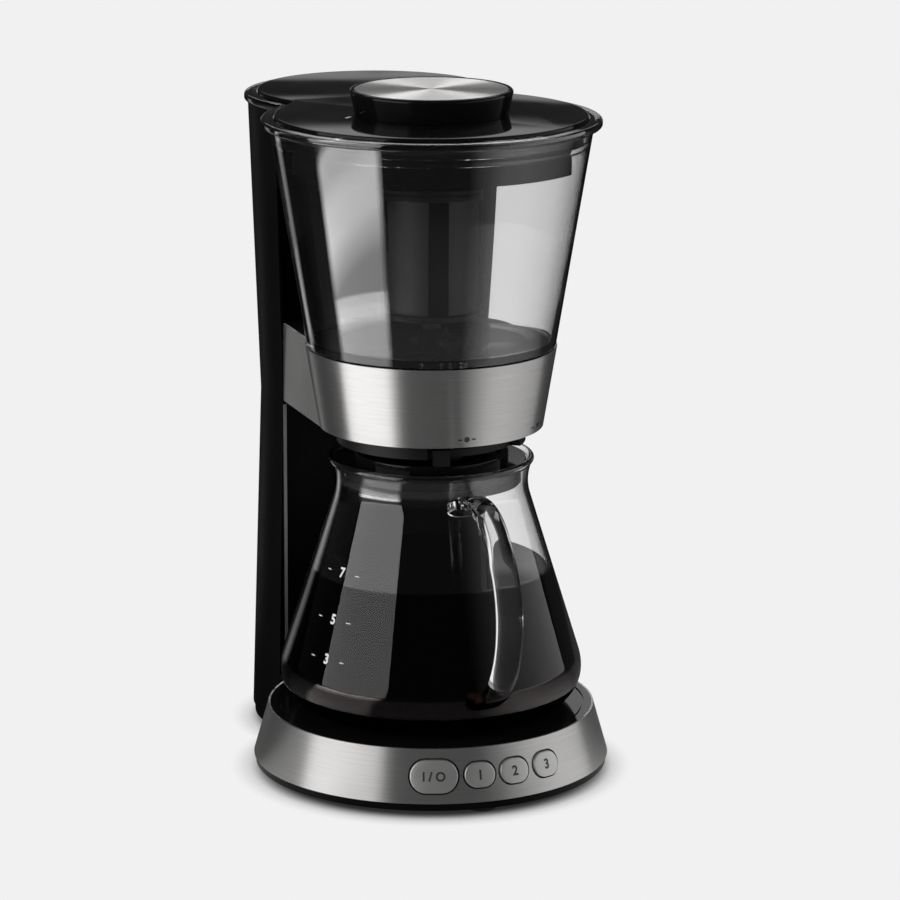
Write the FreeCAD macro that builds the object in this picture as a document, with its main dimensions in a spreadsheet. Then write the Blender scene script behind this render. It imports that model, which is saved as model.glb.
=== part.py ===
"""Cold brew coffee maker, as an assembly of its separate pieces. Millimetres, +Z up.

The pieces are laid out about the brew axis (x = 0, y = 0), on which the carafe, the mixing chamber
and the basket stand. The column stands behind it, on its own axis. Every finished piece is then
moved along Y by the same amount, so that the origin is the middle of the footprint, on the table.
"""
import FreeCAD, Part
import Sketcher
import math
import os

doc = FreeCAD.newDocument("cold_brew_coffee_maker")
sheet = doc.addObject("Spreadsheet::Sheet", "sizes")

# Driving sizes: alias, value, meaning. Lengths in mm, angles in degrees.
SIZES = [
    # base
    ("foot_height", 4, "rubber foot under the pan"),
    ("foot_radius", 8, "rubber foot"),
    ("foot_inset", 15, "feet of the round base, inside the foot of its trim band"),
    ("foot_edge", 0.8, "rounding of a foot"),
    ("side_foot_angle", 78, "side feet from the front"),
    ("rear_foot_angle", 28, "rear feet from straight behind, about the column axis"),
    ("rear_foot_inset", 2, "rear feet inside the edge of the pan"),
    ("pan_thickness", 4, "bottom plate of the base"),
    ("pan_inset", 1, "pan edge inside the trim band"),
    ("base_top", 35.4, "tray surface above the table"),
    ("base_radius", 95, "lower edge of the base trim band, and the hollow front of the column"),
    ("band_lean", 7.8, "upper edge of the base trim band inside its lower edge"),
    ("trim_wall", 1, "steel trim thickness"),
    ("tray_thickness", 3, "tray plate"),
    ("skirt_wall", 2, "tray skirt behind the trim band"),
    ("tray_groove_inset", 6.2, "drip groove inside the upper edge of the trim band"),
    ("tray_groove_width", 1.2, "drip groove in the tray"),
    ("tray_groove_depth", 0.6, "drip groove in the tray"),
    ("post_radius", 5, "screw posts under the tray"),
    ("post_circle", 62, "screw posts, from the brew axis"),
    ("screw_radius", 1.6, "screw shank"),
    ("screw_head_radius", 3.4, "screw head"),
    ("screw_head_height", 2.2, "screw head"),
    ("screw_length", 16, "screw shank"),
    ("screw_head_gap", 0.3, "screw head in its counterbore"),
    ("screw_shank_gap", 0.1, "screw shank in the pan"),
    # buttons
    ("brew_width", 25, "brew button"),
    ("brew_tall", 16.4, "brew button"),
    ("strength_width", 16.4, "strength buttons"),
    ("strength_tall", 12.4, "strength buttons"),
    ("brew_place", -28.938, "brew button from the front, measured along the trim band"),
    ("mild_place", -4.770, "mild button from the front"),
    ("medium_place", 14.628, "medium button from the front"),
    ("bold_place", 34.662, "bold button from the front"),
    ("button_shadow_gap", 0.9, "dark ring round a button in the trim"),
    ("button_guide_gap", 0.3, "button in its guide hole"),
    ("button_proud", 0.8, "button face outside the trim"),
    ("button_flange", 0.7, "keeper flange behind the skirt"),
    ("button_flange_thickness", 1.5, "keeper flange behind the skirt"),
    ("button_travel", 1.2, "press of a button"),
    ("stem_radius", 2.5, "button stem"),
    ("carrier_inset", 21, "button carrier wall inside the lower edge of the trim band"),
    ("carrier_wall", 3, "button carrier wall"),
    ("carrier_span", 42, "half width of the button carrier"),
    ("carrier_lug_thickness", 4, "lugs that hold the control board"),
    ("stem_reach", 12, "button stem behind the outside of the carrier wall"),
    ("switch_slack", 1.8, "gap left between a pressed stem and its switch"),
    ("switch_size", 6, "tact switch body"),
    ("switch_body_depth", 3.4, "tact switch body"),
    ("switch_plunger_depth", 0.6, "tact switch plunger"),
    ("board_thickness", 1.6, "circuit boards"),
    ("board_edge_gap", 2, "control board below the tray and above the pan"),
    # column
    ("column_offset", 95, "column axis behind the brew axis"),
    ("column_foot_radius", 67.9, "column at its foot"),
    ("column_waist_radius", 62.2, "column at the seam"),
    ("column_top_radius", 68, "column at its top"),
    ("column_wall", 2.5, "column shells"),
    ("plinth_height", 1.5, "step under the column"),
    ("seam_drop", 0.4, "seam between the column shells, below the arm"),
    ("column_top_gap", 0.6, "top of the column below the chamber flange"),
    ("top_plate_thickness", 2.5, "column top plate"),
    ("plate_gap", 0.1, "top plate and motor bracket inside the column shells"),
    ("power_board_setback", 10, "power board behind the column axis"),
    ("power_board_width", 56, "power board"),
    ("power_board_depth", 40, "power board"),
    ("standoff_height", 6, "power board above the pan"),
    ("standoff_radius", 3, "power board standoffs"),
    ("standoff_inset", 1, "standoffs inside the edge of the power board"),
    ("part_inset", 4, "transformer and capacitors inside the edge of the power board"),
    ("transformer_width", 26, "transformer"),
    ("transformer_depth", 22, "transformer"),
    ("transformer_height", 22, "transformer"),
    ("capacitor_radius", 5, "capacitors"),
    ("capacitor_pitch", 12, "from one capacitor to the next"),
    ("capacitor_height", 16, "capacitors"),
    ("gland_height", 27, "cord inlet above the table"),
    ("gland_radius", 7.5, "cord inlet flange"),
    ("gland_neck_radius", 5.5, "cord inlet neck"),
    ("gland_bore_radius", 3.4, "cord inlet bore"),
    ("gland_proud", 2, "cord inlet flange outside the column"),
    ("gland_depth", 12, "cord inlet neck inside the column"),
    # arm
    ("carafe_clearance", 5.6, "round cover under the arm above the carafe lid"),
    ("arm_height", 42.6, "arm band"),
    ("arm_foot_radius", 59.3, "arm band, lower edge"),
    ("arm_top_radius", 66.3, "arm band, upper edge"),
    ("arm_half_width", 58.5, "flat sides of the arm"),
    ("arm_plate", 3.2, "bottom plate and deck of the arm frame"),
    ("arm_wall", 2.5, "arm frame wall"),
    ("boss_skin", 2, "bosses round the bearings and the spout"),
    ("cup_radius", 50.5, "socket for the chamber plug"),
    ("cup_wall", 2.4, "socket wall"),
    ("cup_rise", 23.6, "socket floor above the foot of the arm"),
    ("cup_floor_thickness", 3, "socket floor"),
    ("cup_floor_gap", 0.5, "drive dog and push pin head above the socket floor"),
    ("boss_inset", 0.5, "round cover under the arm, inside the socket's radius"),
    ("boss_height", 8.4, "round cover under the arm"),
    ("retainer_thickness", 2.5, "lower plate of the round cover"),
    ("retainer_lip", 1.5, "lower plate left out under the lever ring in the tab's window"),
    # drain lever
    ("boss_wall", 4, "round cover outside the lever ring"),
    ("lever_ring_width", 4, "lever ring"),
    ("lever_ring_thickness", 1.5, "lever ring"),
    ("lever_gap", 0.35, "lever ring in its groove"),
    ("lever_rest_angle", -13.5, "lever at lock, from the front"),
    ("lever_swing", 55, "lever from lock to drain"),
    ("lever_tab_width", 8.6, "finger tab"),
    ("lever_tab_proud", 5.5, "finger tab outside the round cover"),
    ("lever_tab_gap", 1, "finger tab's grip outside the round cover"),
    ("lever_tab_inset", 1.2, "finger tab's root inside the ring"),
    ("lever_tab_drop", 5, "finger tab's grip below the ring"),
    ("lever_tab_lift", 2, "finger tab's grip above the ring"),
    ("ramp_spare", 4, "degrees of ramp past the lever's swing"),
    ("drain_lift", 2.7, "lift of the push pin and the valve"),
    ("pin_radius", 1.8, "push pin"),
    ("pin_head_radius", 3, "push pin head on the socket floor"),
    ("pin_head_height", 1.2, "push pin head on the socket floor"),
    ("pin_gap", 0.35, "push pin in its holes"),
    ("contact_gap", 0.3, "pieces that seat on each other"),
    # drain
    ("drain_offset", 34, "drain in front of the brew axis"),
    ("spout_radius", 5.5, "drain spout outside"),
    ("spout_bore", 4, "drain spout bore"),
    ("spout_taper", 0.7, "narrowed tip of the drain spout"),
    ("spout_taper_height", 2, "narrowed tip of the drain spout"),
    ("spout_proud", 3, "drain spout below the round cover"),
    ("outlet_radius", 6, "chamber outlet outside"),
    ("outlet_bore", 4.2, "chamber outlet bore"),
    ("valve_radius", 6.5, "valve head"),
    ("valve_head_height", 2, "valve head"),
    ("valve_stem_radius", 1.5, "valve stem"),
    ("valve_ear_thickness", 1.6, "ear that the push pin lifts"),
    ("valve_ear_width", 6, "ear that the push pin lifts"),
    ("valve_ear_spare", 0.4, "ear past the push pin"),
    ("seal_thickness", 0.8, "valve seal"),
    ("cage_radius", 8.6, "valve cap on the chamber floor"),
    ("cage_height", 8, "valve cap on the chamber floor"),
    ("cage_wall", 1.2, "valve cap on the chamber floor"),
    ("cage_edge", 3, "rounded edge of the valve cap"),
    ("cage_slot_width", 4, "slots across the valve cap"),
    ("cage_slot_height", 3.4, "slots across the valve cap"),
    # drive
    ("shaft_radius", 3, "drive shaft and spindle"),
    ("running_gap", 0.05, "shafts in their bearings"),
    ("bearing_radius", 7, "bearings outside"),
    ("bearing_height", 5, "bearings"),
    ("bush_wall", 1.6, "spindle bush in the hub"),
    ("pulley_rise", 6.6, "lower face of both pulleys above the foot of the arm"),
    ("pulley_flange_thickness", 1.5, "pulley flanges"),
    ("pulley_flange_rise", 2, "pulley flanges outside the groove"),
    ("belt_width", 5, "drive belt"),
    ("belt_thickness", 1.4, "drive belt"),
    ("belt_gap", 0.3, "belt on its pulleys"),
    ("belt_side_gap", 0.5, "belt between the pulley flanges"),
    ("drive_pulley_radius", 22, "drive pulley groove"),
    ("motor_pulley_radius", 8, "motor pulley groove"),
    ("motor_setback", 32, "motor axis behind the column axis"),
    ("motor_radius", 20, "motor can"),
    ("motor_height", 52, "motor can"),
    ("motor_boss_radius", 6, "motor front boss"),
    ("motor_boss_height", 4, "motor front boss"),
    ("motor_pulley_gap", 3, "motor pulley above the motor's boss"),
    ("motor_shaft_radius", 2.5, "motor shaft"),
    ("motor_shaft_gap", 1, "motor shaft in the motor's boss"),
    ("motor_screw_depth", 5, "motor screws in the motor"),
    ("motor_screw_circle", 13, "motor screws from its axis"),
    ("bracket_thickness", 2.5, "motor bracket"),
    ("belt_window_height", 14, "belt window in the column"),
    ("belt_window_gap", 3, "belt window round the drive pulley"),
    ("dog_radius", 9, "coupling dogs"),
    ("dog_plate", 2, "coupling dog plates"),
    ("dog_lug_height", 3.4, "coupling lugs"),
    ("dog_lug_width", 4, "coupling lugs"),
    ("dog_gap", 0.4, "between the coupling halves"),
    # chamber
    ("chamber_foot_inset", 0.7, "clear chamber at its floor, inside the upper edge of the arm"),
    ("chamber_neck_radius", 84.6, "clear chamber, outside below the flange"),
    ("chamber_wall", 3, "clear chamber wall and floor"),
    ("chamber_height", 115.9, "clear chamber below its flange"),
    ("flange_height", 4.2, "chamber flange"),
    ("flange_proud", 4.4, "chamber flange outside the chamber"),
    ("flange_column_proud", 2, "chamber flange outside the top of the column"),
    ("flange_rim", 6.8, "clear rim left outside the lid"),
    ("flange_floor", 1.8, "clear shelf under the lid, over the column"),
    ("plug_play", 0.6, "chamber plug in the arm socket"),
    ("plug_wall", 2.4, "chamber plug"),
    ("plug_rise", 4, "lower edge of the chamber plug above the socket floor"),
    ("plug_seal_rise", 5, "rubber ring above the lower edge of the plug"),
    ("plug_seal_depth", 1, "rubber ring in its groove"),
    ("plug_seal_width", 2.4, "rubber ring on the plug"),
    ("plug_seal_proud", 0.25, "rubber ring on the plug"),
    ("hub_foot_radius", 11.5, "spindle hub on the chamber floor"),
    ("hub_top_radius", 7.8, "spindle hub at its top"),
    ("hub_low_radius", 7, "spindle hub under the chamber floor"),
    ("hub_height", 7, "spindle hub on the chamber floor"),
    ("hub_drop", 6, "spindle hub below the chamber floor"),
    # basket
    ("basket_radius", 26.6, "brew basket outside"),
    ("basket_rise", 13.7, "underside of the basket above the chamber floor"),
    ("basket_height", 72, "basket frame"),
    ("basket_floor", 2.4, "basket floor"),
    ("basket_ring", 4, "basket top and bottom rings"),
    ("basket_wall", 2, "basket rings and socket"),
    ("basket_rib_width", 5, "basket ribs"),
    ("basket_rib_depth", 1.6, "basket ribs"),
    ("basket_rib_sink", 0.2, "basket ribs inside its outline"),
    ("mesh_gap", 0.1, "mesh inside the rings"),
    ("mesh_drop", 0.4, "mesh below the basket's upper edge"),
    ("mesh_wall", 0.6, "basket mesh"),
    ("basket_lid_thickness", 3, "basket lid"),
    ("basket_lid_plug", 2, "basket lid down into the basket"),
    ("basket_lid_edge", 1, "rounded edge of the basket lid"),
    ("basket_stud_radius", 8, "finger stud on the basket lid"),
    ("basket_stud_height", 2, "finger stud on the basket lid"),
    ("spindle_head_radius", 5, "spindle head in the basket"),
    ("spindle_head_height", 8, "spindle head in the basket"),
    # lid
    ("lid_gap", 0.4, "lid inside the chamber rim"),
    ("lid_seat_gap", 0.4, "lid plate above the clear shelf"),
    ("lid_thickness", 3.8, "lid plate"),
    ("lid_collar_gap", 3, "upper collar of the lid plug inside the chamber"),
    ("lid_collar_height", 8.6, "upper collar of the lid plug"),
    ("lid_skirt_inset", 6.6, "lower skirt of the lid plug inside its collar"),
    ("lid_skirt_height", 13.6, "lower skirt of the lid plug"),
    ("lid_skirt_wall", 2.2, "lid plug wall"),
    ("lid_gasket_height", 2.6, "gasket round the collar"),
    ("lid_gasket_depth", 1, "gasket in its groove"),
    ("lid_gasket_reach", 1.5, "gasket outside the collar"),
    ("lid_gasket_drop", 2, "gasket below the lid plate"),
    ("knob_lean", 1.6, "knob narrower where it meets the lid"),
    ("knob_top_radius", 43, "knob below its rounded edge"),
    ("knob_height", 13.2, "knob above the lid"),
    ("knob_edge", 1.6, "rounded edge of the knob"),
    ("knob_wall", 2.6, "knob wall"),
    ("knob_rim", 1.3, "flat rim between the knob's rounded edge and its disc"),
    ("knob_disc_thickness", 1, "steel disc on the knob"),
    ("knob_disc_sink", 0.3, "steel disc below the knob edge"),
    ("knob_boss_radius", 6, "screw boss in the knob"),
    # carafe
    ("carafe_wall", 2.6, "carafe glass"),
    ("carafe_floor", 3.4, "carafe glass floor"),
    ("heel_radius", 20, "rounded heel of the carafe"),
    ("belly_radius", 80.5, "widest part of the carafe"),
    ("shoulder_radius", 27, "arc from the belly into the cone"),
    ("cone_angle", 17.2, "slope of the carafe from upright"),
    ("neck_rise", 114, "top of the carafe cone above its foot"),
    ("lip_sweep", 28, "arc of the neck and lip"),
    ("lip_rise", 19.9, "edge of the carafe lip above the cone, below its rounding"),
    ("carafe_lid_step", 9.4, "raised disc of the carafe lid inside its flange"),
    ("carafe_lid_disc_height", 4.4, "raised disc of the carafe lid"),
    ("carafe_lid_flange_gap", 0.05, "flange of the carafe lid in the lip"),
    ("carafe_lid_flange_height", 2.2, "flange of the carafe lid"),
    ("carafe_lid_sink", 1.8, "flange underside below the rim"),
    ("carafe_lid_wall", 2, "plug of the carafe lid"),
    ("carafe_lid_plug_gap", 2.2, "plug of the carafe lid inside the throat"),
    ("carafe_lid_plug_depth", 10, "plug of the carafe lid"),
    ("carafe_lid_hole", 5, "drip hole of the carafe lid"),
    ("carafe_lid_lip", 1, "lip round the drip hole, under the lid"),
    ("carafe_lid_edge", 0.8, "rounded edges of the carafe lid"),
    ("carafe_lid_rim", 3.5, "rim of the raised disc, round its dish"),
    ("carafe_lid_dish", 3, "dish below the rim of the raised disc"),
    ("carafe_lid_dish_foot", 1.4, "floor of the dish at the drip hole, above the seat"),
    ("carafe_gasket_height", 3, "gasket of the carafe lid"),
    ("carafe_gasket_reach", 1, "gasket outside the plug"),
    ("carafe_gasket_rise", 1.5, "gasket above the lower edge of the plug"),
    # carafe handle
    ("handle_width", 14, "handle strap across"),
    ("handle_thick", 7.4, "handle strap through"),
    ("handle_root_sink", 2.17, "upper root of the handle inside the top of the cone"),
    ("handle_root_rise", 4, "upper root of the handle above the cone"),
    ("handle_rise", 35.7, "slope of the handle at its upper root"),
    ("handle_top_radius", 38.9, "upper bend of the handle"),
    ("handle_top_turn", 82.5, "upper bend of the handle"),
    ("handle_run", 8.3, "straight between the bends"),
    ("handle_grip_radius", 51.2, "long bend of the handle"),
    ("handle_grip_turn", 120.4, "long bend of the handle"),
    ("handle_tail", 9, "end of the handle that runs into the carafe"),
]

for row, (alias, value, meaning) in enumerate(SIZES, start=1):
    sheet.set(f"A{row}", meaning)
    sheet.set(f"B{row}", str(value))
    sheet.setAlias(f"B{row}", alias)
doc.recompute()


class Length:
    """A size with its number and with the sheet expression that gives it."""

    def __init__(self, value, text):
        self.value = float(value)
        self.text = text

    def __add__(self, other):
        other = as_length(other)
        return Length(self.value + other.value, f"({self.text} + {other.text})")

    __radd__ = __add__

    def __sub__(self, other):
        other = as_length(other)
        return Length(self.value - other.value, f"({self.text} - {other.text})")

    def __rsub__(self, other):
        return as_length(other) - self

    def __mul__(self, other):
        other = as_length(other)
        return Length(self.value * other.value, f"({self.text} * {other.text})")

    __rmul__ = __mul__

    def __truediv__(self, other):
        other = as_length(other)
        return Length(self.value / other.value, f"({self.text} / {other.text})")

    def __neg__(self):
        return Length(-self.value, f"(0 - {self.text})")


def as_length(number):
    return number if isinstance(number, Length) else Length(number, str(float(number)))


def sine(angle):
    return Length(math.sin(math.radians(angle.value)), f"sin({angle.text} * 1deg)")


def cosine(angle):
    return Length(math.cos(math.radians(angle.value)), f"cos({angle.text} * 1deg)")


def tangent(angle):
    return Length(math.tan(math.radians(angle.value)), f"tan({angle.text} * 1deg)")


def root(length):
    return Length(math.sqrt(length.value), f"sqrt({length.text})")


class Sizes:
    """The sheet's sizes as attributes, each a Length bound to its cell."""


S = Sizes()
for alias, value, meaning in SIZES:
    setattr(S, alias, Length(sheet.get(alias), f"sizes.{alias}"))

FULL_TURN = 360
HALF_TURN = 180
LONG = 400          # longer than the whole object, for cutters
BEYOND = 1          # how far a cutter runs past the face that it opens
WELL_BEYOND = 5     # the same for cutters that leave through a sloping face
WINDOW_SPARE = 2    # degrees left at each end of the lever's swing
ROUGH_FIT = 0.05    # gap between neighbouring shells that touch for the eye
LIP_SLACK = 0.01    # lip's rounding a little wider than half the glass, so that it reaches both faces
CAGE_SLOTS = 3      # slots that run right across the valve cap
BASKET_RIBS = 6
RIB_TURN = 12       # degrees from the front to the first basket rib
RAMP_ROOT = 0.5     # how deep the lever's ramp is joined into its ring
RAMP_HALF_WIDTH = 12  # wider than the lever's ring
RAMP_OVERRUN = 8    # wedge past the end of the ramp
ZERO = as_length(0)
UPRIGHT = FreeCAD.Vector(0, 0, 1)
places = {}


# ---------------------------------------------------------------- helpers
def bind(target, **sizes):
    """Binds properties of an object to expressions of the sheet."""
    for name, length in sizes.items():
        target.setExpression(name, as_length(length).text)


def place(target, x=0, y=0, z=0, turn=None, rotation=None):
    """Puts an object at x, y, z, turned about the upright axis by a bound angle."""
    if turn is not None:
        target.Placement = FreeCAD.Placement(FreeCAD.Vector(), FreeCAD.Rotation(UPRIGHT, turn.value))
        target.setExpression("Placement.Rotation.Angle", turn.text)
    elif rotation is not None:
        target.Placement = FreeCAD.Placement(FreeCAD.Vector(), rotation)
    places[target.Name] = as_length(y)
    for axis, length in (("x", x), ("y", y), ("z", z)):
        target.setExpression(f"Placement.Base.{axis}", as_length(length).text)
    return target


def cylinder(name, radius, low, high, x=0, y=0):
    solid = doc.addObject("Part::Cylinder", name)
    bind(solid, Radius=radius, Height=high - low)
    return place(solid, x, y, low)


def cone(name, low_radius, high_radius, low, high, x=0, y=0):
    solid = doc.addObject("Part::Cone", name)
    bind(solid, Radius1=low_radius, Radius2=high_radius, Height=high - low)
    return place(solid, x, y, low)


def box(name, x0, x1, y0, y1, z0, z1):
    solid = doc.addObject("Part::Box", name)
    bind(solid, Length=x1 - x0, Width=y1 - y0, Height=z1 - z0)
    return place(solid, x0, y0, z0)


def front_rod(name, radius, near, far, x=0, z=0):
    """A rod along the front direction, from near to far in front of the brew axis."""
    solid = doc.addObject("Part::Cylinder", name)
    bind(solid, Radius=radius, Height=far - near)
    return place(solid, x, -as_length(near), z, rotation=FreeCAD.Rotation(FreeCAD.Vector(1, 0, 0), 90))


def cut(name, base, *tools):
    for count, tool in enumerate(tools, start=1):
        result = doc.addObject("Part::Cut", name if count == len(tools) else f"{name}_cut_{count}")
        result.Base = base
        result.Tool = tool
        base = result
    return base


def fuse(name, *parts):
    result = doc.addObject("Part::MultiFuse", name)
    result.Shapes = list(parts)
    return result


def common(name, first, second):
    result = doc.addObject("Part::MultiCommon", name)
    result.Shapes = [first, second]
    return result


def group(name, parts):
    result = doc.addObject("Part::Compound", name)
    result.Links = list(parts)
    return result


def ring(name, outer, inner, low, high, x=0, y=0):
    bore = cylinder(name + "_bore", inner, low - BEYOND, high + BEYOND, x, y)
    return cut(name, cylinder(name + "_disc", outer, low, high, x, y), bore)


class Arc:
    """An outline corner that is reached on an arc: side 1 turns left, -1 turns right."""

    def __init__(self, r, z, radius, side):
        self.corner = (as_length(r), as_length(z))
        self.radius = as_length(radius)
        self.side = side


def corner_of(item):
    return item.corner if isinstance(item, Arc) else (as_length(item[0]), as_length(item[1]))


def turned(name, outline, x=0, y=0):
    """A body turned from an outline of (radius, height) corners and arcs."""
    body = doc.addObject("PartDesign::Body", name)
    sketch = body.newObject("Sketcher::SketchObject", name + "_outline")
    plane = [f for f in body.Origin.OriginFeatures if f.Role == "XZ_Plane"][0]
    sketch.AttachmentSupport = (plane, [""])
    sketch.MapMode = "FlatFace"
    corners = [corner_of(item) for item in outline]
    points = [FreeCAD.Vector(r.value, z.value, 0) for r, z in corners]
    starts = []
    ends = []
    for index, item in enumerate(outline):
        here = points[index - 1]
        there = points[index]
        if isinstance(item, Arc):
            geometry = arc_geometry(here, there, item.radius.value, item.side)
            starts.append(1 if item.side > 0 else 2)
            ends.append(2 if item.side > 0 else 1)
        else:
            geometry = Part.LineSegment(here, there)
            starts.append(1)
            ends.append(2)
        sketch.addGeometry(geometry, False)
    for index, (r, z) in enumerate(corners):
        following = (index + 1) % len(outline)
        join = Sketcher.Constraint("Coincident", index, ends[index], following, starts[following])
        sketch.addConstraint(join)
        for kind, length, axis in (("DistanceX", r, -2), ("DistanceY", z, -1)):
            if length.value == 0:
                sketch.addConstraint(Sketcher.Constraint("PointOnObject", index, ends[index], axis))
            else:
                datum = Sketcher.Constraint(kind, -1, 1, index, ends[index], length.value)
                number = sketch.addConstraint(datum)
                sketch.setExpression(f"Constraints[{number}]", length.text)
    for index, item in enumerate(outline):
        if isinstance(item, Arc):
            number = sketch.addConstraint(Sketcher.Constraint("Radius", index, item.radius.value))
            sketch.setExpression(f"Constraints[{number}]", item.radius.text)
    turning = body.newObject("PartDesign::Revolution", name + "_turning")
    turning.Profile = sketch
    turning.ReferenceAxis = (sketch, ["V_Axis"])
    turning.Angle = FULL_TURN
    return place(body, x, y, 0)


def arc_geometry(here, there, radius, side):
    """The arc from here to there, with its centre to the left (side 1) or right (-1) of the way."""
    middle = (here + there) / 2
    way = there - here
    off = math.sqrt(max(radius ** 2 - (way.Length / 2) ** 2, 0))
    left = FreeCAD.Vector(-way.y, way.x, 0).normalize()
    centre = middle + left * (off * side)
    first, last = (here, there) if side > 0 else (there, here)
    first_angle = math.atan2(first.y - centre.y, first.x - centre.x)
    last_angle = math.atan2(last.y - centre.y, last.x - centre.x)
    circle = Part.Circle(centre, UPRIGHT, radius)
    return Part.ArcOfCircle(circle, first_angle, last_angle)


def between(low_value, high_value, low, high, at):
    """The value at a height on a straight taper."""
    return low_value + (high_value - low_value) * (at - low) / (high - low)


NODES = []


def node(piece, label=None):
    """Keeps a finished piece, under its own label, and moves it to the common origin."""
    piece.Label = label or piece.Name
    y = places.get(piece.Name, ZERO) + CENTRE_SHIFT
    piece.setExpression("Placement.Base.y", y.text)
    NODES.append(piece)
    return piece


# ------------------------------------------------------- worked-out sizes
# Base.
pan_low = S.foot_height
pan_top = S.foot_height + S.pan_thickness
plinth_top = pan_top + S.plinth_height
tray_low = S.base_top - S.tray_thickness
button_z = (pan_top + S.base_top) / 2
screw_seat = pan_low + S.screw_head_height + S.screw_head_gap
band_top_radius = S.base_radius - S.band_lean
tray_groove_radius = band_top_radius - S.tray_groove_inset
skirt_inside = -(S.trim_wall + S.skirt_wall)
carrier_radius = S.base_radius - S.carrier_inset
switch_plane = carrier_radius - S.stem_reach
board_front = (switch_plane - S.button_travel - S.switch_slack - S.switch_body_depth
               - S.switch_plunger_depth)


def band_radius(at):
    return between(S.base_radius, band_top_radius, pan_top, S.base_top, at)


# Carafe, which stands on the tray: its outer curve from the heel to the lip.
carafe_low = S.base_top + S.contact_gap
belly_height = carafe_low + S.heel_radius
slope_sin = sine(S.cone_angle)
slope_cos = cosine(S.cone_angle)
shoulder_reach = S.belly_radius - S.shoulder_radius + S.shoulder_radius * slope_cos
shoulder_height = belly_height + S.shoulder_radius * slope_sin
neck_height = carafe_low + S.neck_rise
neck_reach = shoulder_reach - (neck_height - shoulder_height) * tangent(S.cone_angle)
lip_centre_reach = neck_reach + S.lip_sweep * slope_cos
lip_centre_height = neck_height + S.lip_sweep * slope_sin
carafe_rim = neck_height + S.lip_rise


def lip_reach(at, inset):
    """Radius of the lip's arc at a height, on the glass's outer face moved in by inset."""
    sweep = S.lip_sweep + inset
    rise = at - lip_centre_height
    return lip_centre_reach - root(sweep * sweep - rise * rise)


carafe_lid_seat = carafe_rim - S.carafe_lid_sink
carafe_lid_top = carafe_lid_seat + S.carafe_lid_flange_height + S.carafe_lid_disc_height
carafe_lid_flange_radius = lip_reach(carafe_lid_seat, S.carafe_wall) - S.carafe_lid_flange_gap
carafe_lid_disc_radius = carafe_lid_flange_radius - S.carafe_lid_step
carafe_lid_plug_radius = (lip_centre_reach - S.lip_sweep - S.carafe_wall
                          - S.carafe_lid_plug_gap)

# Arm, which clears the carafe's lid.
boss_low = carafe_lid_top + S.carafe_clearance
arm_foot = boss_low + S.boss_height
arm_top = arm_foot + S.arm_height
cup_floor = arm_foot + S.cup_rise
boss_radius = S.cup_radius - S.boss_inset
spout_tip = boss_low - S.spout_proud
lever_outer_radius = boss_radius - S.boss_wall
lever_inner_radius = lever_outer_radius - S.lever_ring_width
lever_middle_radius = (lever_inner_radius + lever_outer_radius) / 2
lever_tab_reach = boss_radius + S.lever_tab_proud
tab_half_angle = S.lever_tab_width / 2 / lever_inner_radius * (180 / math.pi)
window_from = S.lever_rest_angle - tab_half_angle - WINDOW_SPARE
window_to = S.lever_rest_angle + S.lever_swing + tab_half_angle + WINDOW_SPARE
ring_low = boss_low + S.retainer_thickness + S.lever_gap
ring_top = ring_low + S.lever_ring_thickness
ramp_top = ring_top + S.drain_lift
pin_head_low = cup_floor + S.cup_floor_gap
ear_low = pin_head_low + S.pin_head_height + S.drain_lift


def arm_radius(at):
    return between(S.arm_foot_radius, S.arm_top_radius, arm_foot, arm_top, at)


# Drive, between the arm and the column.
column_y = S.column_offset
motor_y = column_y + S.motor_setback
pulley_low = arm_foot + S.pulley_rise
motor_face = pulley_low - S.motor_pulley_gap - S.motor_boss_height
drive_dog_low = cup_floor + S.cup_floor_gap

# Chamber, which stands on the arm, and the column beside it.
chamber_low = arm_top + S.contact_gap
chamber_floor = chamber_low + S.chamber_wall
chamber_foot_radius = S.arm_top_radius - S.chamber_foot_inset
plug_radius = S.cup_radius - S.plug_play
plug_foot = cup_floor + S.plug_rise
flange_low = chamber_low + S.chamber_height
flange_top = flange_low + S.flange_height
flange_radius = S.chamber_neck_radius + S.flange_proud
flange_column_radius = S.column_top_radius + S.flange_column_proud
seam_height = arm_foot - S.seam_drop
column_top = flange_low - S.column_top_gap
basket_low = chamber_floor + S.basket_rise
basket_high = basket_low + S.basket_height


def chamber_radius(at):
    return between(chamber_foot_radius, S.chamber_neck_radius, chamber_low, flange_low, at)


# Lid and knob.
lid_low = flange_low + S.flange_floor + S.lid_seat_gap
lid_top = lid_low + S.lid_thickness
lid_collar_low = lid_low - S.lid_collar_height
lid_skirt_low = lid_collar_low - S.lid_skirt_height
lid_collar_radius = S.chamber_neck_radius - S.chamber_wall - S.lid_collar_gap
lid_skirt_radius = lid_collar_radius - S.lid_skirt_inset
knob_foot_radius = S.knob_top_radius - S.knob_lean
knob_disc_radius = S.knob_top_radius - S.knob_edge - S.knob_rim

# The handle's centre line runs on two bends joined by a straight, in the plane x = 0.
handle_root_reach = neck_reach - S.handle_root_sink
handle_root_height = neck_height + S.handle_root_rise
bend_heading = S.handle_rise - S.handle_top_turn
top_centre_reach = handle_root_reach + S.handle_top_radius * sine(S.handle_rise)
top_end_reach = top_centre_reach - S.handle_top_radius * sine(bend_heading)
run_end_reach = top_end_reach + S.handle_run * cosine(bend_heading)
grip_centre_reach = run_end_reach + S.handle_grip_radius * sine(bend_heading)
handle_reach = grip_centre_reach + S.handle_grip_radius + S.handle_thick / 2
back_reach = column_y + flange_column_radius
CENTRE_SHIFT = (handle_reach - back_reach) / 2


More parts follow.
